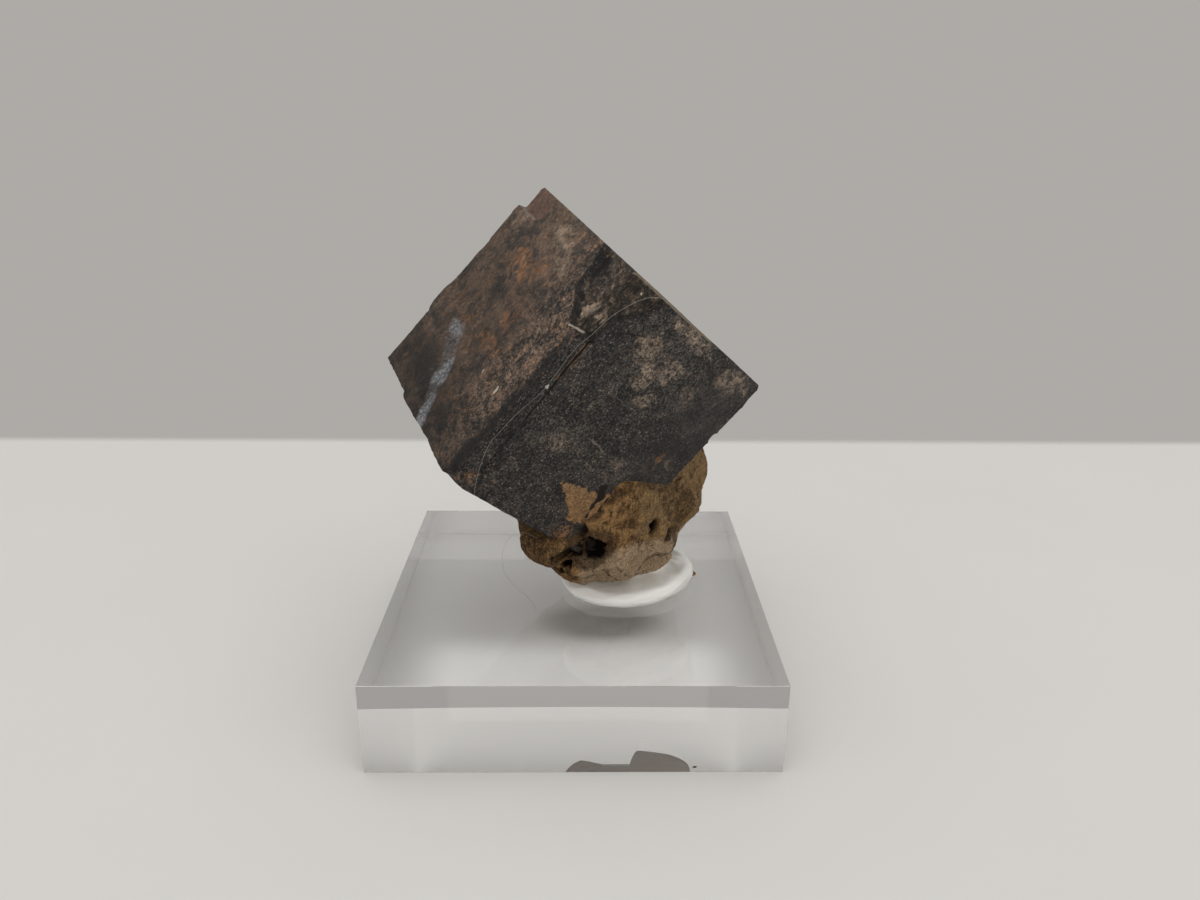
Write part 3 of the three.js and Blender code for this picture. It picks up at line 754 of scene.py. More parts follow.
def crystal_weights(base, size):
    """How much of each colour lies at every point, how bright the skin is, partly by painted light, how
    grainy it is, where painted highlights and painted shade lie, and distances in millimetres from the break,
    the crack and the thin lines, which the finish turns into crisp edges."""
    left, right = on_face("left", base, size), on_face("right", base, size)
    shares = {"left": left, "right": right, "others": 1.0 - np.maximum(left, right)}
    spots = {"left": base[:, [0, 2]], "right": base[:, [0, 1]]}
    bend = np.stack([rough_noise(base, 3.2, seed, 3) for seed in (160, 170)], axis=-1)
    weights = {}
    for name in ("brown", "rust", "tan", "dark", "grey"):
        weights[name] = np.zeros(len(base))
        for face, share in shares.items():
            here = np.full(len(base), COVER[face].get(name, 0.0))
            if face in PATCHES:
                here = np.maximum(here, patches(spots[face] + 0.8 * bend, PATCHES[face].get(name, [])))
            weights[name] = np.maximum(weights[name], here * share)
    up = base[:, 0]
    # Painted light: both faces are made brighter up the ridge. Patches brighten some places, and the left
    # face is darker next to the front ridge.
    tone_and_light = {"left": 0.56 + 0.54 * smooth(3.0, 11.0, up) + 0.5 * smooth(19.0, 27.0, up),
            "right": 0.9 + 0.4 * smooth(15.0, 24.0, up), "others": np.ones(len(up))}
    for face, table in TONE.items():
        tone_and_light[face] = tone_and_light[face] + sum(patches(spots[face] + 0.8 * bend, [spot]) for spot in table)
    tone_and_light["left"] -= 0.6 * smooth(2.6, 0.8, base[:, 2])
    mean_tone = sum(tone_and_light[face] * share for face, share in shares.items()) / sum(shares.values())
    weights["tone_and_light"] = np.maximum(mean_tone, 0.2)
    weights["grit"] = np.maximum(left * (0.25 + 0.75 * smooth(13.0, 3.0, base[:, 2])),
                                 right * (0.45 + 0.55 * smooth(22.0, 15.0, base[:, 1])))
    on_left_break = inside_by(spots["left"], RECESS_LEFT)
    on_right_break = inside_by(spots["right"], RECESS_RIGHT)
    weights["grit"] *= 1.0 - 0.6 * np.maximum(left * smooth(-0.2, 0.2, on_left_break),
                                              right * smooth(-0.2, 0.2, on_right_break))
    weights["recess"] = np.clip(np.where(left >= right, on_left_break, on_right_break), -1.0, 1.5)
    weights["recess"][np.maximum(left, right) < 0.3] = -1.0
    # The grey band, partly worn skin and partly painted sheen
    band = smooth(-0.9, 0.5, inside_by(spots["left"] + 0.3 * bend, BAND_OUTLINE)) * left
    weights["grey"] = band * (0.48 + 0.44 * np.minimum(weights["grey"], 1.0))
    weights["flake"] = smooth(-0.1, 0.3, inside_by(spots["left"], FLAKE_OUTLINE)) * left
    weights["brown"] = np.maximum(weights["brown"], weights["flake"])
    weights["ochre"] = np.where(right > 0.5, np.clip(inside_by(spots["right"], BARE_PATCH), -1.0, 1.0), -1.0)
    # Painted highlight: a pale tan line along the right face's top edge
    near_top = smooth(0.5, 0.15, away_from("top", base, size))
    weights["top_edge_highlight"] = right * near_top * smooth(17.0, 13.0, base[:, 1])
    weights["pale"] = np.maximum(left * patches(spots["left"], WHITE_FLECKS),
                                 right * patches(spots["right"], RIGHT_FLECKS))
    places = out_of_crystal(base)
    # Painted shade: the skin is darkened in the split beside the bare patch and where the matrix covers it
    weights["crevice_shade"] = np.maximum(right * np.exp(-crevice_reach(places) ** 2),
                                smooth(0.2, 0.7, lobe_depth(places)))
    for name, along, line, stretches, share in (("left", base[:, 2], LEFT_LINE, LEFT_SHOWS, left),
                                                ("right", base[:, 1], RIGHT_LINE, RIGHT_SHOWS, right)):
        weights[name + "_line"] = up - np.interp(along, *np.array(line).T)
        weights[name + "_shows"] = share * shown(along, stretches) * (1.0 - 0.6 * smooth(4.0, 10.0, along))
    weights["crack"] = base[:, 1] - np.interp(up, *np.array(CRACK_LINE).T)
    weights["crack_shows"] = right * shown(up, CRACK_SHOWS) * (0.4 + 0.6 * smooth(10.0, 14.0, up))
    weights["crumbs"] = right * smooth(15.8, 17.0, up) * smooth(22.0, 21.0, up)
    return weights


def crystal_finish(settings):
    """Charcoal skin full of fine light and dark grains, mottled by brown, rust and tan, with a grey band of
    worn skin and painted sheen, rubble in the broken recess with painted shade along its wall and in its dark
    pocket, a bare ochre patch, a dark crack, thin pale lines of painted highlight along small steps, a
    painted highlight along the right face's top edge, pale specks and a painted glint, and painted shade in
    the split and where the matrix covers the skin."""
    finish = Finish("limonite_skin", CRYSTAL_TURN.to_matrix().inverted().to_euler())
    weight = finish.weight
    broad = finish.noise(5.0, 4.0, 0.6, 0.5)
    coarse = finish.noise(2.2, 10.0, 0.74, 0.7)
    mid = finish.noise(1.2, 8.0, 0.85, 0.5)
    strokes = finish.noise(0.7, 8.0, 0.78, 0.5, (0.7, 1.0, 1.0))
    fine = finish.noise(0.34, 4.0, 0.7)
    grain = finish.noise(0.25, 1.0, 0.6)
    tan = weight("tan").broken(mid, 0.97, 1.15)
    rubble = finish.layers(
        RUBBLE_DARK,
        (RUBBLE_BROWN, strokes.fade(0.45, 0.62)),
        (settings.tan, weight("tan").broken(strokes, 1.0, 1.1)),
        # Painted shade in the recess's dark pocket and along its wall
        (RECESS_POCKET_SHADE, weight("dark").broken(mid, 1.12, 1.3)),
        (RECESS_WALL_SHADE, (weight("recess") + strokes * 1.2).fade(1.5, 0.85) * 0.85))
    skin = finish.layers(
        settings.skin,
        (settings.brown, weight("brown").broken(coarse, 0.98, 1.22)),
        (settings.rust, weight("rust").broken(strokes, 0.98, 1.14) * 0.75),
        (settings.tan, tan * 0.72),
        (CHARCOAL, weight("dark").broken(coarse, 0.9, 1.15) * 0.8),
        (rubble, (weight("recess") + fine * 0.3).fade(0.1, 0.18)),
        (FLAKE_BROWN, weight("flake") * 0.8))
    lift = fine.fade(0.45, 0.58) * 2.1 + coarse.fade(0.43, 0.57) * 0.9
    grit = weight("grit") * (1.0 - tan * 0.5)
    gain = (grit * (lift - 1.1) + 1.0).at_least(0.12)
    shade = broad.spread(0.35, 0.65, 0.8, 1.2)
    # Grey of the band: worn skin with painted sheen
    band = finish.layers(BAND_DARK, (BAND_PALE, fine.fade(0.42, 0.6)))
    bare = finish.layers(
        BARE_OCHRE,
        (BARE_BROWN, strokes.fade(0.58, 0.46) * 0.85),
        (BARE_PALE, grain.fade(0.5, 0.65) * 0.6))
    light_grains = grain.fade(0.61, 0.68) * grit * coarse.fade(0.36, 0.56) * weight("tone_and_light").fade(0.3, 0.95)
    crumbs = abs(weight("crack") + 0.1).fade(0.34, 0.16) * weight("crumbs") * strokes.fade(0.47, 0.53)
    split = abs(weight("crack") + fine * 0.16 - 0.08).fade(0.19, 0.1) * weight("crack_shows")
    uneven = (strokes - 0.5) * 0.7
    gaps = mid.fade(0.34, 0.5)
    # Painted highlights: thin pale lines along small steps
    lines = [abs(weight(side + "_line") + uneven).fade(0.17, 0.06) * weight(side + "_shows") * gaps
             for side in ("left", "right")]
    colour = finish.layers(
        skin.scaled(gain * shade * weight("tone_and_light")),
        (band, weight("grey").broken(strokes, 0.75, 1.4)),
        (GRAIN_PALE, light_grains * 0.75),
        (bare, (weight("ochre") + strokes * 2.4).fade(1.05, 1.35)),
        # Painted highlight along the right face's top edge
        (TOP_EDGE_HIGHLIGHT_TAN, weight("top_edge_highlight").broken(mid, 0.95, 1.15)),
        # Painted shade in the split and under the matrix
        (CREVICE_SHADE_DARK, weight("crevice_shade").broken(strokes, 0.95, 1.1)),
        (CRUMB_ORANGE, crumbs),
        (CRACK_BLACK, split),
        *((HIGHLIGHT_LINE_PALE, line) for line in lines),
        # Pale specks, and one painted glint
        (FLECK_AND_GLINT_PALE, weight("pale").broken(fine, 0.85, 1.1)))
    rough = (fine.spread(0.0, 1.0, 0.36, 0.66) + weight("tan") * 0.15).at_least(weight("crevice_shade") * 0.95)
    relief = finish.relief((mid, 0.7, 0.2), (fine, 0.8, 0.09), (grain, 0.6, 0.04))
    return finish.done(Base_Color=colour, Roughness=rough, Normal=relief, Specular_IOR_Level=0.3)


def lobe_depth(points):
    """Depth under the matrix's surface, above zero inside: a soft union of the lobes, plus three waves of
    lumps. The union is the blend times the log of the sum of e to a lobe's depth over the blend."""
    total = np.zeros(len(points))
    for at, radii in [*MATRIX_LOBES, MATRIX_FOOT]:
        reach = np.linalg.norm((points - at) / radii, axis=1)
        total += np.exp(LOBE_SCALE * (1.0 - reach) / LOBE_BLEND)
    x, y, z = points.T
    lumps = np.sin(0.8 * x + 0.5 * z) + np.sin(0.9 * y - 0.6 * x + 1.0) + np.sin(0.85 * z + 0.7 * y + 2.0)
    height = bpy.context.scene.specimen_matrix.lump_height / MM
    return LOBE_BLEND * np.log(np.maximum(total, 1e-30)) + height * lumps


def outer_radius(ways, heart):
    """Distance from the heart to the surface along many directions at once: the farthest step with depth
    above zero, then the crossing beyond it halved down."""
    outer = np.full(len(ways), MATRIX_REACH)
    going = np.ones(len(ways), bool)
    while going.any():
        inside = lobe_depth(heart + ways[going] * (outer[going] - RAY_STEP)[:, None]) >= 0.0
        index = np.flatnonzero(going)
        outer[index[~inside]] -= RAY_STEP
        going[index[inside]] = False
    inner = outer - RAY_STEP
    for _ in range(RAY_HALVINGS):
        middle = (inner + outer) / 2.0
        inside = lobe_depth(heart + ways * middle[:, None]) >= 0.0
        inner = np.where(inside, middle, inner)
        outer = np.where(inside, outer, middle)
    return inner


def ball_ways(count):
    """Directions through an even grid on a cube, each side's places bent by a tangent so that they are
    spread evenly, with the quads between them."""
    lattice, quads = box_grid((count,) * 3)
    cube = np.tan((lattice / count - 0.5) * np.pi / 2.0)
    return cube / np.linalg.norm(cube, axis=1)[:, None], quads


def pit_way(around, up):
    """A direction from its angle round from +X and its angle up from level, in degrees."""
    level = math.cos(math.radians(up))
    turn = math.radians(around)
    return np.array([level * math.cos(turn), level * math.sin(turn), math.sin(math.radians(up))])


def matrix_points(ways, heart, settings):
    """The matrix's surface: the lobes' radius, roughened by noise and small pores, and cut back to the near
    side of each pit's stretched ball where a ray from the heart runs through it."""
    radius = outer_radius(ways, heart)
    skin = heart + ways * radius[:, None]
    grain = settings.grain_height / MM
    rough = 0.6 * rough_noise(skin, 2.4, 100, 5) + 0.5 * rough_noise(skin, 0.5, 105, 2)
    streaks = rough_noise(skin * (1.0, 1.0, 0.25), 0.6, 120, 2) * smooth(0.0, 6.0, skin[:, 0])
    pores = smooth(0.4, 0.8, value_noise(skin, 0.95, 110))
    pores += 0.8 * smooth(0.35, 0.8, value_noise(skin, 0.55, 111))
    crevice = np.exp(-crevice_reach(skin) ** 2)
    radius = radius + grain * (rough + 0.55 * streaks - 1.3 * pores) - 0.5 * grain - 0.9 * crevice
    warp = 0.45 * np.stack([rough_noise(skin, 1.0, seed, 3) for seed in (130, 140, 150)], axis=-1)
    for around, up, width, height, deep in PITS:
        way = pit_way(around, up)
        side = np.cross((0.0, 0.0, 1.0), way)
        side /= np.linalg.norm(side)
        pit_axes = np.stack([side, np.cross(way, side), way]) / np.array([[width], [height], [deep]])
        mouth = heart + way * outer_radius(way[None], heart)[0]
        start = (heart - mouth) @ pit_axes.T + warp @ pit_axes.T
        run = ways @ pit_axes.T
        a = (run ** 2).sum(axis=1)
        b = (start * run).sum(axis=1)
        c = (start ** 2).sum(axis=1) - 1.0
        inside = b * b - a * c
        hit = (inside > 0.0) & (b < 0.0)
        near = (-b - np.sqrt(np.maximum(inside, 0.0))) / a
        radius = np.where(hit, np.minimum(radius, near), radius)
    return heart + ways * radius[:, None]


def crevice_reach(points):
    """Distance from points to the split between the bare patch and the main lump, where they meet on the
    right face, which is darkened by painted shade. It is counted in the split's half width, which grows
    upwards, and noise is added."""
    local = np.array([(up, across, 0.0) for up, across in CREVICE_LINE])
    width = 0.24 + 0.4 * smooth(27.5, 31.0, points[:, 2])
    away = line_distance(points, out_of_crystal(local))
    return away / width + 0.6 * rough_noise(points, 0.8, 180, 2)


def crystal_cutter(settings):
    """The crystal's plain box, a little smaller, in its place: it hollows the matrix."""
    size = crystal_size(settings)
    lattice, quads = box_grid((1, 1, 1))
    corners = CUTTER_SHRINK + lattice * (size - 2.0 * CUTTER_SHRINK)
    return write_mesh("crystal_cutter", out_of_crystal(corners), [quads])


def vertex_places(piece):
    """A piece's vertices in millimetres."""
    places = np.empty(len(piece.data.vertices) * 3, np.float32)
    piece.data.vertices.foreach_get("co", places)
    return places.reshape(-1, 3).astype(float) / MM


class SPECIMEN_OT_matrix(bpy.types.Operator):
    """Build the pitted ochre matrix round the crystal's lower corner"""
    bl_idname = "specimen.matrix"
    bl_label = "Matrix"

    def execute(self, context):
        settings = context.scene.specimen_matrix
        heart = np.array(MATRIX_HEART)
        ways, quads = ball_ways(MATRIX_GRID)
        matrix = write_mesh("ochre_matrix", matrix_points(ways, heart, settings), [quads])
        cut_by(matrix, crystal_cutter(context.scene.specimen_crystal))
        places = vertex_places(matrix)
        write_weight(matrix, "pit", smooth(0.3, 0.9, lobe_depth(places)))
        write_weight(matrix, "dust", smooth(3.5, 12.0, places[:, 0]))
        write_weight(matrix, "shade", matrix_shade(places, heart))
        write_weight(matrix, "low", smooth(24.5, 20.0, places[:, 2]) * smooth(-1.5, 2.5, places[:, 0]))
        matrix.data.materials.clear()
        matrix.data.materials.append(matrix_finish(settings))
        finish_piece(matrix, "matrix", "matrix")
        return {"FINISHED"}


def matrix_shade(places, heart):
    """How much darker the matrix is, the most of four: in the hollow round the big pits, on the left, in
    the split, and in a seam along the crystal's lower face."""
    way = pit_way(*SHADE_WAY)
    hollow = heart + way * outer_radius(way[None], heart)[0]
    ahead = ((places - CRYSTAL_PLACE) @ CRYSTAL_AXES)[:, 2]
    return np.maximum.reduce([
        0.8 * np.exp(-(np.linalg.norm(places - hollow, axis=1) / SHADE_RADIUS) ** 4),
        0.58 * smooth(2.0, -3.0, places[:, 0]),
        np.exp(-(0.8 * crevice_reach(places)) ** 2),
        0.56 * smooth(-1.4, -0.2, ahead) * smooth(0.6, 0.2, ahead)])


def matrix_finish(settings):
    """Ochre earth: orange in the middle, paler and streaked upright on the right, darkened by the painted
    shade, and painted shade near black in the pits.
    """
    finish = Finish("ochre_matrix")
    weight = finish.weight
    coarse = finish.noise(2.6, 8.0, 0.7, 0.5)
    mid = finish.noise(0.9, 8.0, 0.78, 0.5)
    fine = finish.noise(0.32, 4.0, 0.72)
    grain = finish.noise(0.2, 1.0, 0.6)
    streaks = finish.noise(0.7, 8.0, 0.76, 0.8, (1.0, 1.0, 0.25))
    earth = finish.layers(
        settings.ochre,
        (EARTH_BROWN, coarse.fade(0.47, 0.58)),
        (settings.pale, weight("dust").broken(streaks, 0.85, 1.2) * 0.75),
        (EARTH_SAND, mid.fade(0.53, 0.62) * 0.65),
        (EARTH_ORANGE, streaks.fade(0.53, 0.6) * 0.6),
        (EARTH_CREAM, weight("low").broken(mid, 0.75, 1.25) * 0.8),
        (EARTH_DARK, streaks.fade(0.46, 0.38) * 0.8),
        (EARTH_SHADE, weight("shade").broken(mid, 0.88, 1.12) * 0.8))
    colour = finish.layers(
        earth.scaled(fine.fade(0.4, 0.6) * 0.6 + 0.72),
        (EARTH_GRAIN, grain.fade(0.62, 0.7) * 0.3),
        # Painted shade, near black, in the pits and the darkest shaded places
        (PIT_SHADE_BLACK, weight("pit").at_least(weight("shade").broken(coarse, 1.28, 1.36))))
    relief = finish.relief((mid, 1.0, 0.35), (streaks, 0.7, 0.3), (fine, 0.9, 0.15))
    return finish.done(Base_Color=colour, Roughness=0.92, Normal=relief, Specular_IOR_Level=0.05)


def dab_profile():
    """Radius and height of the drop, from 0 to 1: a round rim from under the widest place, then the top,
    which runs in to the middle as a straight line."""
    rim = np.radians(np.linspace(-30.0, 90.0, DAB_RIM_STEPS))
    edge = np.stack([1.0 - DAB_RIM + DAB_RIM * np.cos(rim), 0.5 + 0.5 * np.sin(rim)], axis=-1)
    share = np.linspace(1.0, 0.0, DAB_RIM_STEPS + 1)[1:-1, None] * (1.0 - DAB_RIM, 0.0) + (0.0, 1.0)
    return np.concatenate([[(FOOTPRINT, 0.0)], edge, share])


def dab_points(settings):
    """The profile carried round an oval, lifted towards one side, and drawn up where the matrix sinks in:
    the rise is its reach times e to the matrix's depth over the same reach."""
    profile = dab_profile()
    turn = np.linspace(0.0, 2.0 * np.pi, DAB_SIDES, endpoint=False)
    ring_x = profile[:, :1] * np.cos(turn)
    ring_y = profile[:, :1] * np.sin(turn)
    unit = np.stack([ring_x, ring_y, np.broadcast_to(profile[:, 1:], ring_x.shape)], axis=-1).reshape(-1, 3)
    unit = np.concatenate([[(0.0, 0.0, 0.0)], unit, [(0.0, 0.0, 1.0)]])
    wobble = 1.0 + 0.02 * rough_noise(unit * 3.0, 1.0, 140, 2)
    long = unit[:, 0] * settings.half_length / MM * wobble
    short = unit[:, 1] * settings.half_width / MM * wobble
    x = DAB_PLACE[0] + long * math.cos(settings.turn) - short * math.sin(settings.turn)
    y = DAB_PLACE[1] + long * math.sin(settings.turn) + short * math.cos(settings.turn)
    share = (unit[:, 0] + 1.0) / 2.0
    low, high = settings.low / MM, settings.high / MM
    foot = BLOCK_BOX[1][2] / MM + CONTACT_GAP
    z = foot + unit[:, 2] * (low + (high - low) * share ** 2)
    points = np.stack([x, y, z], axis=-1)
    rise = DRAWN_UP * np.exp(np.minimum(lobe_depth(points), 0.0) / DRAWN_UP)
    points[:, 2] += rise * unit[:, 2] ** 2
    return points


class SPECIMEN_OT_adhesive(bpy.types.Operator):
    """Build the clear dab that holds the matrix, with two caught fibres and a crumb"""
    bl_idname = "specimen.adhesive"
    bl_label = "Adhesive dab"

    def execute(self, context):
        settings = context.scene.specimen_dab
        points = dab_points(settings)
        quads, fans = ring_grid(len(points), DAB_SIDES)
        dab = write_mesh("clear_dab", points, [quads, fans])
        dab.data.materials.append(milky_finish(settings))
        dab.data.materials.append(contact_finish())
        heart = np.array(MATRIX_HEART)
        ways, ball_quads = ball_ways(SINK_GRID)
        radius = outer_radius(ways, heart) - SINK_DEPTH
        cut_by(dab, write_mesh("matrix_cutter", heart + ways * radius[:, None], [ball_quads]))
        write_weight(dab, "inner", smooth(0.94, 0.78, dab_reach(vertex_places(dab), settings)))
        centres = np.empty(len(dab.data.polygons) * 3, np.float32)
        dab.data.polygons.foreach_get("center", centres)
        underside = centres.reshape(-1, 3)[:, 2] < BLOCK_BOX[1][2] + 1.1 * CONTACT_GAP * MM
        dab.data.polygons.foreach_set("material_index", underside.astype(int))
        dab.data.update()
        finish_piece(dab, "adhesive", "adhesive_dab")
        for name, route in (("loose_fibre_loop", LOOP_ROUTE), ("loose_fibre_ridge", ridge_route())):
            fibre = write_mesh(name, *tube(np.array(route, float)))
            fibre.data.materials.append(fibre_finish())
            finish_piece(fibre, "adhesive")
        crumb = write_mesh("matrix_crumb", *crumb_shape())
        crumb.data.materials.append(bpy.data.materials["ochre_matrix"])
        finish_piece(crumb, "matrix")
        return {"FINISHED"}


def ridge_route():
    """The fibre that lies along the crystal's right face, lifted a little off it."""
    spots = np.array(RIDGE_FIBRE, float)
    local = np.stack([spots[:, 0], spots[:, 1], np.full(len(spots), -RIDGE_FIBRE_LIFT)], axis=-1)
    return out_of_crystal(local)


def tube(route):
    """A thin tube along a smooth curve through the route's points: each stretch is the cubic through four
    neighbouring points, and a ring of six points is set square to it at every step."""
    stops = np.concatenate([[2 * route[0] - route[1]], route, [2 * route[-1] - route[-2]]])
    t = np.linspace(0.0, 1.0, FIBRE_STEPS, endpoint=False)[:, None]
    runs = [((-t + 2 * t ** 2 - t ** 3) * a + (2 - 5 * t ** 2 + 3 * t ** 3) * b
             + (t + 4 * t ** 2 - 3 * t ** 3) * c + (t ** 3 - t ** 2) * d) / 2.0
            for a, b, c, d in zip(stops, stops[1:], stops[2:], stops[3:])]
    path = np.concatenate(runs + [route[-1:]])
    ahead = np.gradient(path, axis=0)
    ahead /= np.linalg.norm(ahead, axis=1)[:, None]
    side = np.cross(ahead, FIBRE_SIDE)
    side /= np.linalg.norm(side, axis=1)[:, None]
    up = np.cross(ahead, side)
    turn = np.radians(np.arange(0, 360, 60))
    outwards = np.cos(turn)[:, None] * side[:, None] + np.sin(turn)[:, None] * up[:, None]
    rings = (path[:, None] + FIBRE_THICKNESS / 2.0 * outwards).reshape(-1, 3)
    points = np.concatenate([path[:1], rings, path[-1:]])
    return points, ring_grid(len(points), len(turn))


def crumb_shape():
    """A small rough ball of matrix."""
    ways, quads = ball_ways(CRUMB_GRID)
    radius = np.array(CRUMB_RADII) * (1.0 + 0.3 * value_noise(ways, 0.5, 150))[:, None]
    return np.array(CRUMB_PLACE) + ways * radius, [quads]


def fibre_finish():
    finish = Finish("lint")
    return finish.done(Base_Color=finish.layers(LINT_DARK, (LINT_PALE, finish.noise(1.0))), Roughness=0.7)


def clear_finish(name, ior):
    """Clear polished plastic with its index of refraction. At an index of 1 light passes straight on."""
    return Finish(name).done(Base_Color=WHITE, Roughness=0.0, IOR=ior, Transmission_Weight=1.0)


def dab_reach(places, settings):
    """How far out places lie on the dab's oval, seen from above: 0 in the middle and 1 at the rim."""
    away = places[:, :2] - DAB_PLACE
    cosine, sine = math.cos(settings.turn), math.sin(settings.turn)
    long = (away[:, 0] * cosine + away[:, 1] * sine) / (settings.half_length / MM)
    short = (away[:, 1] * cosine - away[:, 0] * sine) / (settings.half_width / MM)
    return np.hypot(long, short)


def milky_finish(settings):
    """White, cloudy plastic at the dab's rim, clearer and a little yellower further in."""
    finish = Finish("milky_adhesive")
    inner = finish.weight("inner") * finish.noise(3.0, 3.0).fade(0.36, 0.62)
    return finish.done(Base_Color=finish.layers(settings.milk, (MILK_INNER, inner)), Roughness=0.28,
                       IOR=PLASTIC_IOR, Transmission_Weight=inner * 0.4 + 0.12)


def contact_finish():
    """The dab's underside: clear, but for dull brown ovals where the rock shows through."""
    finish = Finish("adhesive_contact")
    uneven = finish.noise(2.0, 4.0) * 0.3
    brown = 0.0
    for at, radii in CONTACT_SPOTS:
        brown = (finish.oval(at, radii) + uneven).fade(1.3, 0.95).at_least(brown)
    return finish.done(Base_Color=finish.layers(WHITE, (CONTACT_BROWN, brown)), Roughness=0.0, IOR=1.0,
                       Transmission_Weight=1.0 - brown)


class SPECIMEN_OT_block(bpy.types.Operator):
    """Build the clear display block"""
    bl_idname = "specimen.block"
    bl_label = "Display block"

    def execute(self, context):
        settings = context.scene.specimen_block
        points = block_points(settings, context.scene.specimen_dab)
        quads, fans = ring_grid(len(points), BLOCK_SIDES)
        block = write_mesh("display_block_clear", points, [quads[:, ::-1], fans[:, ::-1]], False)
        block.data.materials.append(clear_finish("clear_acrylic", PLASTIC_IOR))
        block.data.materials.append(clear_finish("acrylic_contact", 1.0))
        index = np.zeros(len(block.data.polygons), int)
        index[:BLOCK_SIDES] = 1
        index[len(quads):len(quads) + BLOCK_SIDES] = 1
        block.data.polygons.foreach_set("material_index", index)
        finish_piece(block, "acrylic", "display_block")
        return {"FINISHED"}


def block_points(settings, dab):
    """A profile from the middle of the top, out over the dab's footprint to the square rim, down the side
    and in to the middle of the bottom, carried round. Rings under the dab are ovals with a notch at the
    back, rings at the rim are squares, and each has a point for every direction."""
    turn = np.linspace(0.0, 2.0 * np.pi, BLOCK_SIDES, endpoint=False)
    facing = np.stack([np.cos(turn), np.sin(turn)], axis=-1)
    square = facing / np.abs(facing).max(axis=1)[:, None]
    long, short = FOOTPRINT * dab.half_length / MM, FOOTPRINT * dab.half_width / MM
    cosine, sine = math.cos(dab.turn), math.sin(dab.turn)
    oval = np.stack([long * np.cos(turn - dab.turn), short * np.sin(turn - dab.turn)], axis=-1)
    oval = oval @ np.array([[cosine, sine], [-sine, cosine]])
    degrees = np.degrees(turn)
    first, last = NOTCH_WAYS
    notch = smooth(first, first + NOTCH_FADE, degrees) * smooth(last, last - NOTCH_FADE, degrees)
    kept = NOTCH_EDGE / np.maximum(oval[:, 1], NOTCH_EDGE)
    oval = oval * (1.0 - notch * (1.0 - kept))[:, None] + DAB_PLACE
    half, tall, bevel = settings.side / MM / 2.0, settings.height / MM, settings.bevel / MM
    rings = [(oval * 0.5 + np.array(DAB_PLACE) * 0.5, tall), (oval, tall),
             (square * (half - bevel), tall), (square * half, tall - bevel), (square * half, 0.0)]
    flat = [np.concatenate([ring, np.full((BLOCK_SIDES, 1), height)], axis=1) for ring, height in rings]
    return np.concatenate([[(*DAB_PLACE, tall)], *flat, [(0.0, 0.0, 0.0)]])


class SPECIMEN_OT_stage(bpy.types.Operator):
    """Build the floor, the soft light and the camera"""
    bl_idname = "specimen.stage"
    bl_label = "Stage"

    def execute(self, context):
        settings = context.scene.specimen_stage
        corners = np.array([(side * FLOOR_HALF, end, FLOOR_LEVEL) for side, end in (
            (-1, -FLOOR_HALF), (1, -FLOOR_HALF), (1, FLOOR_BACK), (-1, FLOOR_BACK))])
        floor = write_mesh("floor", corners, [np.array([[0, 1, 2, 3]])], False)
        floor.data.materials.append(floor_finish(settings))
        add_camera(settings)
        add_light(settings)
        return {"FINISHED"}


def floor_finish(settings):
    """Pale matt board, which fades out over its far edge. Under the block it glows faintly, for the light
    that the block passes on to it, but for the shadow under the dab."""
    finish = Finish("floor")
    darker = [0.96 * part for part in settings.floor]
    across, depth = abs(finish.place.part("X")), finish.place.part("Y")
    under = across.fade(*GLOW_RIM) * abs(depth).fade(*GLOW_RIM)
    front = depth.fade(-4.0, -12.0) * across.fade(23.0, 15.0)
    shadow = finish.oval(SHADOW_SPOT, SHADOW_RADII).fade(1.2, 0.5)
    glow = under * (front * GLOW_FRONT + GLOW_BASE) * (1.0 - shadow)
    colour = finish.layers(settings.floor, (darker, finish.noise(40.0, 3.0)), (SHADOW_GREY, shadow * 0.6))
    return finish.done(Base_Color=colour, Roughness=0.75, Alpha=depth.fade(97.0, 92.0),
                       Emission_Color=settings.floor, Emission_Strength=glow)


def add_camera(settings):
    """The photograph's view: a camera from its place, its three turns and its lens."""
    pitch, yaw, roll = (math.radians(angle) for angle in CAMERA_TURNS)
    ahead = Vector((math.sin(yaw) * math.cos(pitch), math.cos(yaw) * math.cos(pitch), -math.sin(pitch)))
    level = Vector((math.cos(yaw), -math.sin(yaw), 0.0))
    upright = level.cross(ahead)
    right = math.cos(roll) * level + math.sin(roll) * upright
    up = math.cos(roll) * upright - math.sin(roll) * level
    data = bpy.data.cameras.new("camera")
    data.lens = settings.lens
    data.sensor_width = 36.0
    data.clip_start = 0.005
    camera = link("camera", data)
    axes = Matrix((right, up, -ahead)).transposed().to_4x4()
    camera.matrix_world = Matrix.Translation(Vector(CAMERA_PLACE) * MM) @ axes
    bpy.context.scene.camera = camera


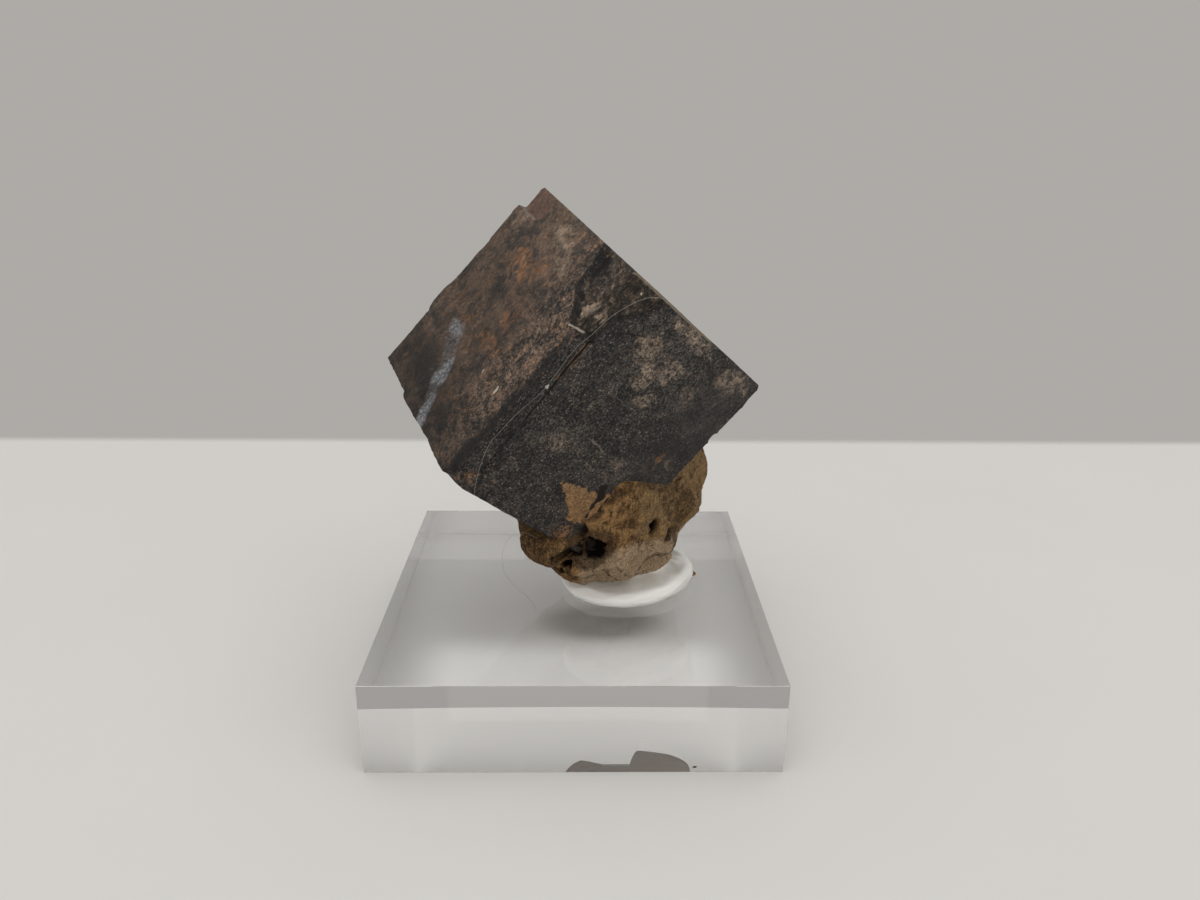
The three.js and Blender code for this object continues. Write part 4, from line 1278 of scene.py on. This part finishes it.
def add_light(settings):
    """One broad lamp overhead, and surroundings like the wall behind: brighter in front, darker up high."""
    lamp = bpy.data.lights.new("softbox_overhead", "AREA")
    lamp.shape = "RECTANGLE"
    lamp.size, lamp.size_y = LAMP_SIZE
    lamp.energy = settings.light
    link("softbox_overhead", lamp).location = LAMP_PLACE
    world = bpy.data.worlds.new("surroundings")
    world.use_nodes = True
    nodes = Nodes(world.node_tree)
    way = nodes.add("ShaderNodeTexCoord", {}, "Generated")
    in_front = way.part("Y").fade(0.1, -0.7, 1.0, 1.0 + settings.front)
    up_high = way.part("Z").fade(0.25, 0.6, 1.0, UPPER_GLOW)
    background = nodes.tree.nodes["Background"].inputs
    nodes.put(background["Color"], settings.backdrop)
    nodes.put(background["Strength"], in_front * up_high)
    bpy.context.scene.world = world
    bpy.context.scene.view_settings.view_transform = "Standard"


class SPECIMEN_PT_panel(bpy.types.Panel):
    """Lists the specimen's pieces and their settings"""
    bl_label = "Limonite Pseudomorph"
    bl_idname = "SPECIMEN_PT_panel"
    bl_space_type = "VIEW_3D"
    bl_region_type = "UI"
    bl_category = "Specimen"

    def draw(self, context):
        for operator, group in STEPS:
            box = self.layout.box()
            box.operator(operator.bl_idname)
            settings = getattr(context.scene, group)
            for name in settings.bl_rna.properties.keys():
                if name not in {"rna_type", "name"}:
                    box.prop(settings, name)


SETTINGS = {
    "specimen_crystal": CrystalSettings,
    "specimen_matrix": MatrixSettings,
    "specimen_dab": DabSettings,
    "specimen_block": BlockSettings,
    "specimen_stage": StageSettings,
}
STEPS = [
    (SPECIMEN_OT_crystal, "specimen_crystal"),
    (SPECIMEN_OT_matrix, "specimen_matrix"),
    (SPECIMEN_OT_adhesive, "specimen_dab"),
    (SPECIMEN_OT_block, "specimen_block"),
    (SPECIMEN_OT_stage, "specimen_stage"),
]
CLASSES = [*SETTINGS.values(), *(operator for operator, _ in STEPS), SPECIMEN_PT_panel]


def register():
    for part in CLASSES:
        bpy.utils.register_class(part)
    for name, group in SETTINGS.items():
        setattr(bpy.types.Scene, name, bpy.props.PointerProperty(type=group))


def unregister():
    for name in SETTINGS:
        delattr(bpy.types.Scene, name)
    for part in reversed(CLASSES):
        bpy.utils.unregister_class(part)


def main():
    register()
    bpy.ops.specimen.crystal()
    bpy.ops.specimen.matrix()
    bpy.ops.specimen.adhesive()
    bpy.ops.specimen.block()
    bpy.ops.specimen.stage()
    bpy.context.view_layer.update()


if __name__ == "__main__":
    main()
